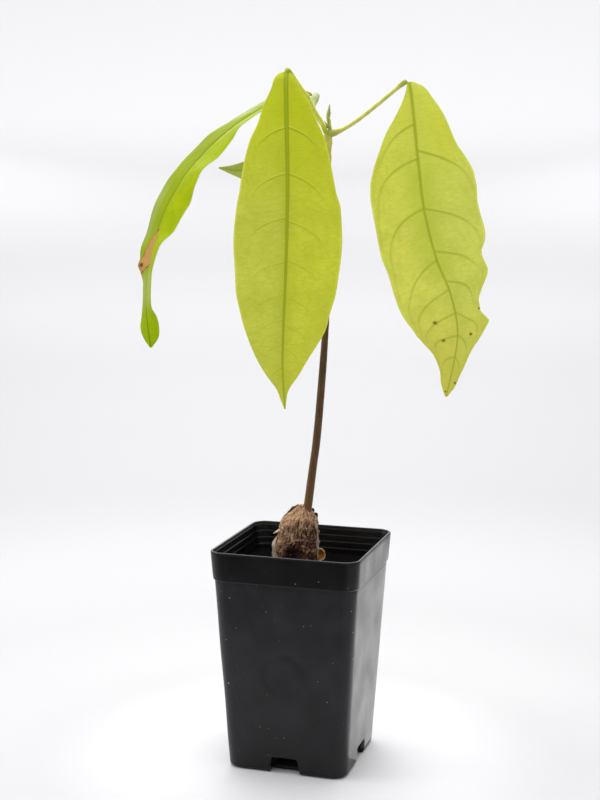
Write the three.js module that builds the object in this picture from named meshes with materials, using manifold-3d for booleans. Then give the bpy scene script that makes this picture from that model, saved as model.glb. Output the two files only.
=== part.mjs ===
// A young cacao plant in a square plastic pot.
// Millimetres, +Z up. The pot stands on z = 0 with its middle on the Z axis, and the plant faces -Y.
import * as THREE from "three";
import { mergeVertices } from "three/addons/utils/BufferGeometryUtils.js";
import Module from "manifold-3d";

// Clearance between neighbouring solids
const gap = 0.3;

// Pot, 90 mm across the rim
const potHeight = 132;
const rimHalf = 45;
const bandHeight = 17.2;
const bandFootHalf = 43.98;
const wallTopHalf = 43.14;
const footHalf = 36.27;
const rimCorner = 8.9;
const footCorner = 8.6;
const footFillet = 2;
const wallThickness = 1.4;
const lipThickness = 1.6;
const floorThickness = 2;
const notchWidth = 16.5;
const notchHeight = 9.7;
const notchReach = 7;
const stepCount = 4;
const stepPitch = 4;
const cornerSides = 5;

// Soil
const soilLevel = 104;
const soilBump = 1.2;
const seatRadius = 21;

// Seed husk round the stem's foot: height above the soil, half width and sideways shift of each ring
const seedRings = [
  [0, 12.4, -4.6],
  [8, 14, -4.6],
  [18, 14.2, -4.5],
  [25, 14.1, -4.7],
  [32.5, 13.4, -4.0],
  [37, 12.1, -3.2],
  [41.5, 9.9, -2.1],
  [46, 7, -1.0],
  [49.5, 3.6, -0.5],
];
const seedLump = 0.05;
const seedTurn = THREE.MathUtils.degToRad(16.85);
// The coat's split, which runs from the stem out to the back
const split = { width: 3, length: 24, height: 80, place: [-3.6, 13.4, 20] };
// Dark hollow low on the front
const hollow = { radius: 5.5, scale: [1.2, 0.8, 1.1], place: [0, -17.5, 18] };
// Curled shred of coat on the right: a short tapered tube
const shred = { height: 7, low: 3.4, top: 2.6, wall: 1.1, tilt: [8, -14], place: [9.8, 2, 19] };

// Stem
const stemTop = 373;
const stemRoute = [
  [-4.5, -1.4, soilLevel + gap],
  [-0.8, -0.8, 128],
  [2.6, -0.2, 152],
  [6, 0.2, 176],
  [8.8, 0.7, 199],
  [12.9, 1.6, 255],
  [14.7, 1.3, 300],
  [15, 0.6, 340],
  [14.4, 0.2, stemTop],
];
const stemRadii = [
  [0, 4],
  [0.05, 2.9],
  [0.12, 2.6],
  [0.3, 2.4],
  [0.55, 1.85],
  [0.85, 1.65],
  [0.97, 2],
  [1, 1.5],
];

// Leaf stalks, each with a swelling at both ends
const stalkRadius = 1.15;
const swellRadius = 1.55;
const stalkRoutes = {
  petiole_right: [
    [14.4, 0.2, 371.2],
    [17.9, 2.3, 372.6],
    [23.1, 4.9, 375],
    [31.6, 8.5, 381.1],
    [43.6, 12.1, 391.2],
    [53.3, 15.1, 399.6],
    [56.4, 15.7, 401.2],
  ],
  petiole_front: [
    [14.4, 0.2, 371],
    [11, -11.3, 382.3],
    [4.2, -23.8, 394.5],
    [0.6, -31.5, 402.2],
    [0.3, -34.7, 404.4],
  ],
  petiole_left: [
    [14.3, 0.2, 371.4],
    [9.4, 9.1, 377.4],
    [2.7, 17.5, 384.2],
    [-1, 23.7, 389.3],
    [-1.8, 29.7, 393.8],
  ],
  petiole_back: [
    [14.4, 0.2, 369.5],
    [10.5, 4.6, 369.6],
    [4.2, 11.6, 369],
    [-1.9, 18.8, 367.6],
  ],
};

// Leaves: the midrib's route, the direction of the right half, the turn about the midrib in degrees along
// the leaf, and along the leaf the half widths to the left and right and how far those edges lift
const leafThickness = 2;
const edgeThickness = 1.2;
const ribHeight = 1.2;
const leafSteps = 40;
const leafSides = 6;
const endCrowding = 0.4;
const leafShapes = {
  leaf_front: {
    rib: [
      [0.3, -35.8, 403.2],
      [1.3, -39.1, 396.4],
      [2.4, -42.1, 376.8],
      [3, -43, 347.1],
      [2.8, -43, 319.9],
      [1.5, -41.3, 292.3],
      [-0.4, -38.8, 265.9],
      [-1.8, -36.1, 240.8],
      [-1.3, -32.8, 215.9],
    ],
    across: [0.957, 0.29, 0],
    roll: [
      [0, 0],
      [1, 0],
    ],
    halves: [
      [0, 3, 1.9, 0, 0],
      [0.005, 5, 2.8, 0, 0],
      [0.01, 5.9, 3.5, -0.1, -0.1],
      [0.03, 7.3, 4.9, -0.3, -0.3],
      [0.05, 8.5, 6.9, -0.5, -0.5],
      [0.075, 10.6, 9.3, -0.8, -0.7],
      [0.1, 13, 12, -1, -1],
      [0.15, 16, 16.7, -1.5, -1.3],
      [0.2, 20.4, 20.8, -2, -1.5],
      [0.25, 23.4, 23.2, -2.5, -1.8],
      [0.3, 25.4, 25, -3, -2],
      [0.35, 26.8, 26.9, -3.3, -2.3],
      [0.4, 28.4, 29.7, -3.5, -2.5],
      [0.5, 29.8, 30.9, -3.5, -2.5],
      [0.6, 28.3, 29.6, -3, -2.5],
      [0.65, 27.5, 28.5, -2.5, -2.3],
      [0.7, 25.3, 26.1, -2, -2],
      [0.75, 22.6, 24, -1.8, -1.5],
      [0.8, 18.9, 19.6, -1.5, -1],
      [0.85, 14.3, 14.3, -1, -0.7],
      [0.9, 8.8, 8.8, -0.5, -0.5],
      [0.93, 5.1, 4.7, -0.2, -0.2],
      [0.96, 3.3, 2.6, 0, 0],
      [1, 1, 0.9, 0, 0],
    ],
    arch: 5,
    wave: 0.8,
  },
  leaf_right: {
    rib: [
      [57.4, 15.3, 400.7],
      [59.3, 13.8, 392.1],
      [61.9, 12.5, 373.5],
      [64.4, 13.2, 351],
      [67.8, 14.3, 327.1],
      [74.1, 18.3, 301],
      [82.2, 22.8, 279.8],
      [86, 26.1, 259.8],
      [84.8, 26.7, 243.2],
      [80, 26.3, 219],
    ],
    across: [0.957, 0.29, 0],
    roll: [
      [0, 0],
      [1, 0],
    ],
    halves: [
      [0, 1.2, 2.1, 0, 0],
      [0.02, 2.4, 8, -0.2, -0.4],
      [0.05, 4.8, 11.7, -0.5, -1],
      [0.1, 10.4, 16.9, -1, -2],
      [0.15, 16.9, 20.2, -1.5, -2.7],
      [0.2, 21.5, 23.4, -2, -3],
      [0.25, 25.8, 28.4, -2.3, -3],
      [0.3, 28.7, 31.7, -2.5, -3],
      [0.35, 29.5, 32.3, -2.8, -3.3],
      [0.4, 29.5, 31.7, -3, -3.5],
      [0.5, 30.3, 32.1, -3, -3.5],
      [0.55, 29.5, 29.4, -2.6, -1.7],
      [0.6, 30.7, 25.5, -2.2, -2.1],
      [0.64, 31.3, 24.9, -2, -3],
      [0.68, 31, 18.8, -2, -1.6],
      [0.71, 30, 14.8, -2, 0.3],
      [0.735, 28.7, 14.2, -2, -0.1],
      [0.76, 26.9, 17.3, -2, -2.1],
      [0.785, 25.3, 18.1, -2, -3],
      [0.81, 24.1, 13.6, -1.8, -1.9],
      [0.84, 20.2, 9.8, -1.4, -0.8],
      [0.87, 13.7, 7.8, -0.9, -0.2],
      [0.9, 9.7, 6.4, -0.5, 0],
      [0.93, 6.6, 5, -0.2, 0],
      [0.96, 4.9, 4, 0, 0],
      [1, 0.8, 0.8, 0, 0],
    ],
    arch: 5,
    wave: 1.2,
  },
  leaf_left: {
    rib: [
      [-3.8, 31.2, 395.5],
      [-10.7, 31.2, 397.1],
      [-21.5, 30, 394.8],
      [-35, 27, 388.1],
      [-51.8, 18.8, 376],
      [-62.8, 12.3, 364.7],
      [-73.2, 6, 351.9],
      [-80.8, 0.6, 338.2],
      [-86.6, -4.3, 324.1],
      [-91.8, -9.7, 303],
      [-93.9, -12.8, 283.4],
      [-93.6, -13.7, 266],
      [-91.1, -14, 246.3],
    ],
    across: [0.29, -0.957, 0],
    roll: [
      [0, 14],
      [0.4, 16],
      [0.6, 15],
      [0.72, 15],
      [0.77, 14],
      [0.81, 13],
      [0.85, 13.6],
      [0.88, 16.5],
      [0.91, 25],
      [0.94, 36],
      [0.97, 46],
      [1, 54],
    ],
    halves: [
      [0, 1.5, 1.5, 0, 0],
      [0.05, 6.5, 6.5, 0.4, -0.7],
      [0.1, 11.5, 11.5, 0.8, -0.2],
      [0.15, 16, 16, 0.3, 1.1],
      [0.2, 20, 20, -0.4, 2.5],
      [0.26, 23.6, 23.6, -0.8, 2.7],
      [0.32, 26.6, 26.6, 0.7, -0.2],
      [0.38, 28.6, 28.6, 0.1, -1.4],
      [0.44, 29.8, 29.8, 0.5, 0.1],
      [0.5, 30.3, 30.3, 1.8, -2.1],
      [0.57, 29.6, 29.6, 2, -5.7],
      [0.65, 27.6, 27.6, 1.3, -4.5],
      [0.71, 25.5, 25.5, 2.6, 0.7],
      [0.77, 22, 22, 2, 1],
      [0.81, 19, 19.5, -0.1, -0.1],
      [0.85, 15.8, 15.7, 0, -1],
      [0.88, 13, 12.7, 0.1, -1.1],
      [0.91, 10.2, 10.7, 0.1, -2.8],
      [0.94, 8.5, 8.5, 0.6, -3.3],
      [0.97, 5.4, 6.2, 0.3, -2.8],
      [1, 0.8, 0.8, 0, 0],
    ],
    arch: 3,
    wave: 0,
  },
  leaf_back: {
    rib: [
      [-2.2, 19.1, 367.5],
      [-10.8, 29.6, 366.4],
      [-21.6, 40.5, 362.9],
      [-43.7, 65.1, 357.6],
      [-67.6, 86.1, 353.2],
      [-91.5, 106, 355.1],
    ],
    across: [-0.69, -0.72, 0],
    roll: [
      [0, -35],
      [0.5, -62],
      [1, -62],
    ],
    halves: [
      [0, 1.5, 1.5, 0, 0],
      [0.05, 5, 5, 0, 0],
      [0.1, 9, 9, -0.5, -0.5],
      [0.2, 15, 15, -1, -1],
      [0.3, 18.6, 18.6, -1.5, -1.5],
      [0.42, 19.8, 18, -1.5, -1.5],
      [0.52, 18.5, 13.5, -1, -1],
      [0.6, 16.5, 9, -0.5, -0.5],
      [0.68, 13, 5.8, 0, 0],
      [0.75, 8.8, 5.1, 0, 0],
      [0.81, 6.4, 4.2, 0, 0],
      [0.9, 3.4, 2.3, 0, 0],
      [1, 0.6, 0.6, 0, 0],
    ],
    arch: 4,
    wave: 0.6,
  },
};

// Bud at the stem's tip
const budRoute = [
  [14.4, 0.2, stemTop - 1],
  [13.9, 0.1, 379],
  [14, 0.1, 384],
  [14.7, 0.2, 389],
];
const budRadii = [
  [0, 1.4],
  [0.25, 0.8],
  [0.6, 1.25],
  [0.85, 0.7],
  [1, 0.25],
];

const wasm = await Module();
wasm.setup();
const { Manifold } = wasm;

const materials = {
  potPlastic: new THREE.MeshStandardMaterial({ color: 0x1d1e20, roughness: 0.5 }),
  soil: new THREE.MeshStandardMaterial({ color: 0x2a1f18, roughness: 1 }),
  husk: new THREE.MeshStandardMaterial({ color: 0x6a4a38, roughness: 0.9 }),
  bark: new THREE.MeshStandardMaterial({ color: 0x6b4f2e, roughness: 0.7 }),
  stalk: new THREE.MeshStandardMaterial({ color: 0xa9b45a, roughness: 0.6 }),
  leaf: new THREE.MeshStandardMaterial({ color: 0xb4c53a, roughness: 0.5 }),
};

// Value at t of a table of [t, value, ...] rows, smooth and without overshoot.
function along(table, t, column = 1) {
  const last = table.length - 1;
  let i = 0;
  while (i < last - 1 && t > table[i + 1][0]) i++;
  const slope = (k) =>
    (table[k + 1][column] - table[k][column]) / (table[k + 1][0] - table[k][0]);
  const tangent = (k) => {
    if (k === 0) return slope(0);
    if (k === last) return slope(last - 1);
    const a = slope(k - 1);
    const b = slope(k);
    return a * b <= 0 ? 0 : (2 * a * b) / (a + b);
  };
  const width = table[i + 1][0] - table[i][0];
  const s = Math.min(1, Math.max(0, (t - table[i][0]) / width));
  const s2 = s * s;
  const s3 = s2 * s;
  return (
    (2 * s3 - 3 * s2 + 1) * table[i][column] +
    (s3 - 2 * s2 + s) * width * tangent(i) +
    (3 * s2 - 2 * s3) * table[i + 1][column] +
    (s3 - s2) * width * tangent(i + 1)
  );
}

function vectorOf(p) {
  return new THREE.Vector3(...p);
}

function curveOf(route) {
  return new THREE.CatmullRomCurve3(route.map(vectorOf), false, "catmullrom", 0.5);
}

// Solid of a closed three.js geometry.
function solidOf(geometry) {
  geometry.deleteAttribute("normal");
  geometry.deleteAttribute("uv");
  const merged = mergeVertices(geometry);
  const mesh = new wasm.Mesh({
    numProp: 3,
    vertProperties: new Float32Array(merged.attributes.position.array),
    triVerts: new Uint32Array(merged.index.array),
  });
  return new Manifold(mesh);
}

// Closed solid through rings of equal count that turn anticlockwise as seen from the last ring.
function loft(rings) {
  const count = rings[0].length;
  const points = rings.flat();
  const faces = [];
  for (let r = 0; r + 1 < rings.length; r++) {
    for (let i = 0; i < count; i++) {
      const a = r * count + i;
      const b = r * count + ((i + 1) % count);
      faces.push(a, b, b + count, a, b + count, a + count);
    }
  }
  const capAt = (first, turned) => {
    const ring = points.slice(first, first + count);
    const middle = ring.reduce((sum, p) => sum.add(p), new THREE.Vector3()).divideScalar(count);
    const centre = points.push(middle) - 1;
    for (let i = 0; i < count; i++) {
      const a = first + i;
      const b = first + ((i + 1) % count);
      if (turned) faces.push(centre, b, a);
      else faces.push(centre, a, b);
    }
  };
  const lastRing = (rings.length - 1) * count;
  capAt(0, true);
  capAt(lastRing, false);
  const mesh = new wasm.Mesh({
    numProp: 3,
    vertProperties: new Float32Array(points.flatMap((p) => [p.x, p.y, p.z])),
    triVerts: new Uint32Array(faces),
  });
  return new Manifold(mesh);
}

// The piece of a cut solid that has the most volume.
function mainBody(solid) {
  return solid.decompose().sort((a, b) => b.volume() - a.volume())[0];
}

function cutBy(solid, others) {
  return mainBody(others.reduce((rest, other) => rest.subtract(other), solid));
}

// Ring of a square with rounded corners at height z, anticlockwise from above.
function squareRing(half, corner, z) {
  const ring = [];
  for (let side = 0; side < 4; side++) {
    const turn = (side * Math.PI) / 2;
    const middle = Math.SQRT2 * (half - corner);
    const cx = middle * Math.cos(turn + Math.PI / 4);
    const cy = middle * Math.sin(turn + Math.PI / 4);
    for (let i = 0; i <= cornerSides; i++) {
      const angle = turn + (i / cornerSides) * (Math.PI / 2);
      ring.push(new THREE.Vector3(cx + corner * Math.cos(angle), cy + corner * Math.sin(angle), z));
    }
  }
  return ring;
}

function outerHalf(z) {
  const bandFoot = potHeight - bandHeight;
  return footHalf + ((wallTopHalf - footHalf) * Math.min(z, bandFoot)) / bandFoot;
}

function outerCorner(z) {
  return footCorner + ((rimCorner - footCorner) * z) / potHeight;
}

function makePot() {
  const bandFoot = potHeight - bandHeight;
  const rings = [];
  for (const degrees of [0, 30, 60, 90]) {
    const angle = THREE.MathUtils.degToRad(degrees);
    const inset = footFillet * (1 - Math.sin(angle));
    const z = footFillet * (1 - Math.cos(angle));
    rings.push(squareRing(outerHalf(z) - inset, footCorner - inset * 0.5, z));
  }
  rings.push(squareRing(wallTopHalf, outerCorner(bandFoot), bandFoot));
  rings.push(squareRing(bandFootHalf, outerCorner(bandFoot) + 0.5, bandFoot + 0.3));
  rings.push(squareRing(rimHalf, rimCorner, potHeight - 0.8));
  rings.push(squareRing(rimHalf - 0.4, rimCorner - 0.4, potHeight));
  rings.push(squareRing(rimHalf - lipThickness, rimCorner - lipThickness, potHeight));
  // Stepped rings inside the band
  const innerTop = rimHalf - lipThickness;
  const innerFoot = wallTopHalf - wallThickness;
  const stepDepth = (innerTop - innerFoot) / stepCount;
  for (let k = 0; k < stepCount; k++) {
    const z = potHeight - 1 - k * stepPitch;
    const half = innerTop - k * stepDepth;
    rings.push(squareRing(half, rimCorner - lipThickness, z));
    rings.push(squareRing(half - stepDepth, rimCorner - lipThickness, z - 0.6));
  }
  rings.push(squareRing(innerFoot, rimCorner - lipThickness, bandFoot));
  const innerFloor = outerHalf(floorThickness) - wallThickness - 1.5;
  rings.push(squareRing(innerFloor + 1.5, footCorner - wallThickness, floorThickness + 3));
  rings.push(squareRing(innerFloor, footCorner - wallThickness - 1, floorThickness));
  const shell = loft(rings);
  const notches = [0, 1, 2, 3].map((side) => {
    const box = new THREE.BoxGeometry(notchReach * 2, notchWidth, notchHeight * 2);
    return solidOf(box.translate(footHalf, 0, 0).rotateZ((side * Math.PI) / 2));
  });
  return cutBy(shell, notches);
}

function innerHalf(z) {
  return outerHalf(z) - wallThickness - gap;
}

// Height of the soil at x, y: low bumps, flat under the husk.
function soilHeight(x, y) {
  const away = Math.hypot(x - stemRoute[0][0], y - stemRoute[0][1]);
  const rise = THREE.MathUtils.smoothstep(away, seatRadius, seatRadius + 8);
  const bump = Math.sin(0.21 * x + 0.5) * Math.cos(0.19 * y) + 0.5 * Math.sin(0.43 * x - 0.31 * y);
  return soilLevel + soilBump * rise * bump;
}

function makeSoil() {
  const corner = footCorner - wallThickness - gap;
  const low = floorThickness + gap;
  const rings = [squareRing(innerHalf(low) - 1.6, corner - 1, low)];
  rings.push(squareRing(innerHalf(low + 3), corner, low + 3));
  const edge = squareRing(innerHalf(soilLevel - 2), corner, soilLevel);
  const ringCount = 9;
  for (let k = 0; k < ringCount; k++) {
    const scale = 1 - k / ringCount;
    rings.push(
      edge.map((p) => {
        const x = p.x * scale;
        const y = p.y * scale;
        return new THREE.Vector3(x, y, soilHeight(x, y));
      }),
    );
  }
  return loft(rings);
}

// Round limb along a route, its radius given by a table or a function of the way along it.
function makeLimb(route, radiusAt, extra = 0, sides = 12, steps = 24) {
  const curve = curveOf(route);
  const frames = curve.computeFrenetFrames(steps, false);
  const rings = [];
  for (let i = 0; i <= steps; i++) {
    const t = i / steps;
    const centre = curve.getPointAt(t);
    const radius = radiusAt(t) + extra;
    const ring = [];
    for (let j = 0; j < sides; j++) {
      const angle = (2 * Math.PI * j) / sides;
      ring.push(
        centre
          .clone()
          .addScaledVector(frames.normals[i], radius * Math.cos(angle))
          .addScaledVector(frames.binormals[i], radius * Math.sin(angle)),
      );
    }
    rings.push(ring);
  }
  return loft(rings);
}

function makeStem(extra = 0) {
  const curve = curveOf(stemRoute);
  const sides = 14;
  const steps = 44;
  const rings = [];
  for (let i = 0; i <= steps; i++) {
    const t = i / steps;
    const centre = curve.getPointAt(t);
    const radius = along(stemRadii, t) + extra;
    const ring = [];
    for (let j = 0; j < sides; j++) {
      const angle = (2 * Math.PI * j) / sides;
      ring.push(
        new THREE.Vector3(
          centre.x + radius * Math.cos(angle),
          centre.y + radius * Math.sin(angle),
          centre.z,
        ),
      );
    }
    rings.push(ring);
  }
  return loft(rings);
}

function stalkRadiusAt(t) {
  const swell = Math.max(1 - t / 0.16, 1 - (1 - t) / 0.16, 0);
  const ease = swell * swell * (3 - 2 * swell);
  return stalkRadius + (swellRadius - stalkRadius) * Math.min(1, ease * 1.4);
}

function makeHusk(stemRoom) {
  const sides = 26;
  const steps = 18;
  const height = seedRings[seedRings.length - 1][0];
  const base = soilLevel + gap;
  const rings = [];
  for (let i = 0; i <= steps; i++) {
    const z = height * Math.sin((i / steps) * (Math.PI / 2));
    const half = along(seedRings, z);
    const shift = along(seedRings, z, 2);
    const ring = [];
    for (let j = 0; j < sides; j++) {
      const angle = (2 * Math.PI * j) / sides;
      const lump =
        Math.sin(3 * angle + 0.09 * z + 1) + 0.8 * Math.cos(5 * angle - 0.16 * z) + 0.5 * Math.sin(8 * angle + z);
      const radius = half * (1 + seedLump * lump * 0.5);
      ring.push(
        new THREE.Vector3(
          shift * Math.cos(seedTurn) + radius * Math.cos(angle),
          shift * Math.sin(seedTurn) + radius * Math.sin(angle),
          base + z,
        ),
      );
    }
    rings.push(ring);
  }
  const body = loft(rings);
  const placed = (geometry, [x, y, z]) => solidOf(geometry.translate(x, y, base + z));
  const splitRoom = placed(
    new THREE.BoxGeometry(split.width, split.length, split.height).rotateZ(seedTurn),
    split.place,
  );
  const hollowRoom = placed(new THREE.SphereGeometry(hollow.radius, 16, 10).scale(...hollow.scale), hollow.place);
  const tubeOf = (extra, height) => {
    const tube = new THREE.CylinderGeometry(shred.top + extra, shred.low + extra, height, 14).rotateX(Math.PI / 2);
    const [tiltX, tiltY] = shred.tilt.map(THREE.MathUtils.degToRad);
    return placed(tube.rotateX(tiltX).rotateY(tiltY), shred.place);
  };
  const curl = tubeOf(0, shred.height).subtract(tubeOf(-shred.wall, shred.height + 2));
  return cutBy(body.add(curl), [stemRoom, splitRoom, hollowRoom]);
}

// Leaf blade with a raised rib under its middle line.
function makeLeaf(shape) {
  const curve = curveOf(shape.rib);
  const acrossStart = vectorOf(shape.across);
  const rings = [];
  for (let i = 0; i <= leafSteps; i++) {
    const even = i / leafSteps;
    const eased = 0.5 - 0.5 * Math.cos(Math.PI * even);
    const t = eased + (even - eased) * endCrowding;
    const middle = curve.getPointAt(t);
    const tangent = curve.getTangentAt(t);
    let across = acrossStart.clone().addScaledVector(tangent, -acrossStart.dot(tangent)).normalize();
    let normal = new THREE.Vector3().crossVectors(tangent, across);
    const roll = THREE.MathUtils.degToRad(along(shape.roll, t));
    const turned = normal.clone().multiplyScalar(Math.cos(roll)).addScaledVector(across, Math.sin(roll));
    across = across.multiplyScalar(Math.cos(roll)).addScaledVector(normal, -Math.sin(roll));
    normal = turned;
    const archSlope = Math.tan(THREE.MathUtils.degToRad(shape.arch));
    const top = [];
    const bottom = [];
    for (let j = -leafSides; j <= leafSides; j++) {
      const v = j / leafSides;
      const half = along(shape.halves, t, v < 0 ? 1 : 2);
      const reach = v * half;
      const wave = shape.wave * v * v * Math.sin(2 * Math.PI * (5 * t + (v < 0 ? 0.1 : 0.55)));
      const edgeLift = along(shape.halves, t, v < 0 ? 3 : 4);
      const lift =
        Math.abs(reach) * archSlope * (1 - Math.abs(v)) + edgeLift * Math.abs(v) ** 1.5 + wave * Math.min(1, half / 15);
      const thick = leafThickness + (edgeThickness - leafThickness) * v * v;
      const rib = ribHeight * Math.max(0, 1 - Math.abs(reach) / 3) * Math.min(1, (1 - t) * 6);
      const level = Math.sqrt(1 - Math.min(0.9, Math.abs(edgeLift) / half) ** 2);
      const p = middle.clone().addScaledVector(across, reach * level).addScaledVector(normal, lift);
      top.push(p.clone().addScaledVector(normal, thick / 2));
      bottom.push(p.clone().addScaledVector(normal, -thick / 2 - rib));
    }
    rings.push([...bottom, ...top.reverse()]);
  }
  return loft(rings);
}

const group = new THREE.Group();

function addNode(name, solid, material) {
  const mesh = solid.getMesh();
  const geometry = new THREE.BufferGeometry();
  geometry.setAttribute("position", new THREE.BufferAttribute(new Float32Array(mesh.vertProperties), 3));
  geometry.setIndex(new THREE.BufferAttribute(new Uint32Array(mesh.triVerts), 1));
  geometry.computeVertexNormals();
  const node = new THREE.Mesh(geometry, material);
  node.name = name;
  group.add(node);
}

const stemRoom = makeStem(gap);
addNode("pot", makePot(), materials.potPlastic);
addNode("soil", makeSoil(), materials.soil);
addNode("stem", makeStem(), materials.bark);
addNode("seed_husk", makeHusk(stemRoom), materials.husk);

// Each stalk keeps clear of the stem and of the stalks before it, and the bud of them all
const stalkRooms = {};
const taken = [stemRoom];
for (const [name, route] of Object.entries(stalkRoutes)) {
  addNode(name, cutBy(makeLimb(route, stalkRadiusAt), taken), materials.stalk);
  stalkRooms[name] = makeLimb(route, stalkRadiusAt, gap);
  taken.push(stalkRooms[name]);
}
addNode("bud", cutBy(makeLimb(budRoute, (t) => along(budRadii, t), 0, 8, 12), taken), materials.stalk);

for (const [name, shape] of Object.entries(leafShapes)) {
  const stalk = stalkRooms[name.replace("leaf", "petiole")];
  addNode(name, cutBy(makeLeaf(shape), [stalk]), materials.leaf);
}

export default group;
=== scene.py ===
import bisect
import math

import bmesh
import bpy
from mathutils import Matrix, Vector, noise


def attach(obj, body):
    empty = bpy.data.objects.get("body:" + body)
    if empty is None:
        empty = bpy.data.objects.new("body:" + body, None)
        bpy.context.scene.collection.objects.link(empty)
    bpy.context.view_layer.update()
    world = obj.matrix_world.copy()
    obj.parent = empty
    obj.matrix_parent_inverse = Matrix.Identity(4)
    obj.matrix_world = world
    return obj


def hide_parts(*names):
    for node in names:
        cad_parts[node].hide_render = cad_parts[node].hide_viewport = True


# Young cacao plant in a square nursery pot, with its seed husk still round the stem's foot.
# Sizes are millimetres and are turned into metres when a mesh is finished.
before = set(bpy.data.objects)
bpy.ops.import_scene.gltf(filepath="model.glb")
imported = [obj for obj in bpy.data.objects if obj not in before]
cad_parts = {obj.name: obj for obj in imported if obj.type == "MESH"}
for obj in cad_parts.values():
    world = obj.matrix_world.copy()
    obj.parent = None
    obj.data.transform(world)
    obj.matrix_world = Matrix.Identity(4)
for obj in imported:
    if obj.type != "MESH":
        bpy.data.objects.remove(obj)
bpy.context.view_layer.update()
mm = 0.001
print("stage: frame loaded,", len(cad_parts), "nodes")

viewTurn = math.radians(16.85)
viewRight = Vector((math.cos(viewTurn), math.sin(viewTurn), 0))
viewBack = Vector((-math.sin(viewTurn), math.cos(viewTurn), 0))

cameraSettings = {
    "elevation": 7.84,
    "roll": 0.22,
    "distance": 836.1,
    "aimRight": -2.24,
    "aimHeight": 216.8,
    "lens": 63.73,
}


def makeCamera(settings):
    rise = math.radians(settings["elevation"])
    roll = math.radians(settings["roll"])
    towards = -viewBack * math.cos(rise) + Vector((0, 0, math.sin(rise)))
    up = towards.cross(viewRight)
    axes = (
        viewRight * math.cos(roll) + up * math.sin(roll),
        up * math.cos(roll) - viewRight * math.sin(roll),
        towards,
    )
    aim = viewRight * settings["aimRight"] + Vector((0, 0, settings["aimHeight"]))
    data = bpy.data.cameras.new("camera")
    data.lens = settings["lens"]
    data.sensor_width = 36
    data.clip_start = 0.01
    camera = bpy.data.objects.new("camera", data)
    camera.matrix_world = Matrix(axes).transposed().to_4x4()
    camera.location = (aim + towards * settings["distance"]) * mm
    bpy.context.scene.collection.objects.link(camera)
    bpy.context.scene.camera = camera


makeCamera(cameraSettings)


def toLinear(hexColor):
    parts = [int(hexColor[i : i + 2], 16) / 255 for i in (1, 3, 5)]
    return (*[c / 12.92 if c <= 0.04045 else ((c + 0.055) / 1.055) ** 2.4 for c in parts], 1.0)


def addNode(tree, kind, settings, output=0):
    # A setting is a socket, by name or number, or a choice of the node's own. An output given as its
    # value is linked to the socket, and a hex colour is turned to linear.
    node = tree.nodes.new("ShaderNode" + kind)
    for name, value in settings.items():
        if not isinstance(name, int) and name not in node.inputs:
            setattr(node, name, value)
        elif isinstance(value, bpy.types.NodeSocket):
            tree.links.new(value, node.inputs[name])
        else:
            node.inputs[name].default_value = toLinear(value) if isinstance(value, str) else value
    return None if output is None else node.outputs[output]


def startMaterial(name):
    material = bpy.data.materials.new(name)
    material.use_nodes = True
    material.node_tree.nodes.clear()
    return material, material.node_tree


def placeInMm(tree):
    coords = addNode(tree, "TexCoord", {}, "Object")
    return addNode(tree, "Mapping", {"Vector": coords, "Scale": (1 / mm, 1 / mm, 1 / mm)})


def layShades(tree, color, layers, blend="LINEAR"):
    # Each layer: a value, where its shade starts to show and where it is full, its strength and the shade
    for value, start, end, strength, shade in layers:
        share = {"interpolation_type": blend, "Value": value, "From Min": start, "From Max": end}
        share = addNode(tree, "MapRange", {**share, "To Max": strength})
        color = addNode(tree, "Mix", {"data_type": "RGBA", 0: share, 6: color, 7: shade}, 2)
    return color


def sowSpecks(tree, place, size, limits, chances):
    # Round specks, at most one in each cell of that size. The limits are where a speck starts and is full,
    # as shares of a cell; the chances are the range of a cell's random number in which its speck comes up.
    cell = {"Vector": place, "Scale": 1 / size}
    distance = addNode(tree, "TexVoronoi", cell, "Distance")
    number = addNode(tree, "SeparateColor", {0: addNode(tree, "TexVoronoi", cell, "Color")})
    specks = addNode(tree, "MapRange", {"Value": distance, "From Min": limits[0], "From Max": limits[1]})
    kept = addNode(tree, "MapRange", {"Value": number, "From Min": chances[0], "From Max": chances[1]})
    return addNode(tree, "Math", {"operation": "MULTIPLY", 0: specks, 1: kept})


def finishMaterial(tree, color, relief, strength, depth, surface):
    # The relief is a bump of that depth in millimetres
    bump = addNode(tree, "Bump", {"Strength": strength, "Distance": depth * mm, "Height": relief})
    shader = addNode(tree, "BsdfPrincipled", {"Base Color": color, "Normal": bump, **surface})
    addNode(tree, "OutputMaterial", {"Surface": shader}, None)


def makeObject(name, bm, material=None, smooth=True):
    # bm holds millimetres in the shared frame
    bmesh.ops.scale(bm, vec=(mm, mm, mm), verts=bm.verts)
    for face in bm.faces:
        face.smooth = smooth
    mesh = bpy.data.meshes.new(name)
    bm.to_mesh(mesh)
    bm.free()
    if material:
        mesh.materials.append(material)
    made = bpy.data.objects.new(name, mesh)
    bpy.context.scene.collection.objects.link(made)
    return made


def finishPiece(name, bm, material, replaced=()):
    piece = makeObject(name, bm, material)
    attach(piece, "root")
    if replaced:
        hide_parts(*replaced)
    return piece


def along(table, t, column=1):
    # Value at t of rows [t, value, ...], smooth and without overshoot
    last = len(table) - 1
    i = 0
    while i < last - 1 and t > table[i + 1][0]:
        i += 1

    def slope(k):
        return (table[k + 1][column] - table[k][column]) / (table[k + 1][0] - table[k][0])

    def tangent(k):
        if k == 0:
            return slope(0)
        if k == last:
            return slope(last - 1)
        a, b = slope(k - 1), slope(k)
        return 0 if a * b <= 0 else 2 * a * b / (a + b)

    width = table[i + 1][0] - table[i][0]
    s = min(1, max(0, (t - table[i][0]) / width))
    s2, s3 = s * s, s * s * s
    return (
        (2 * s3 - 3 * s2 + 1) * table[i][column]
        + (s3 - 2 * s2 + s) * width * tangent(i)
        + (3 * s2 - 2 * s3) * table[i + 1][column]
        + (s3 - s2) * width * tangent(i + 1)
    )


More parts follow.
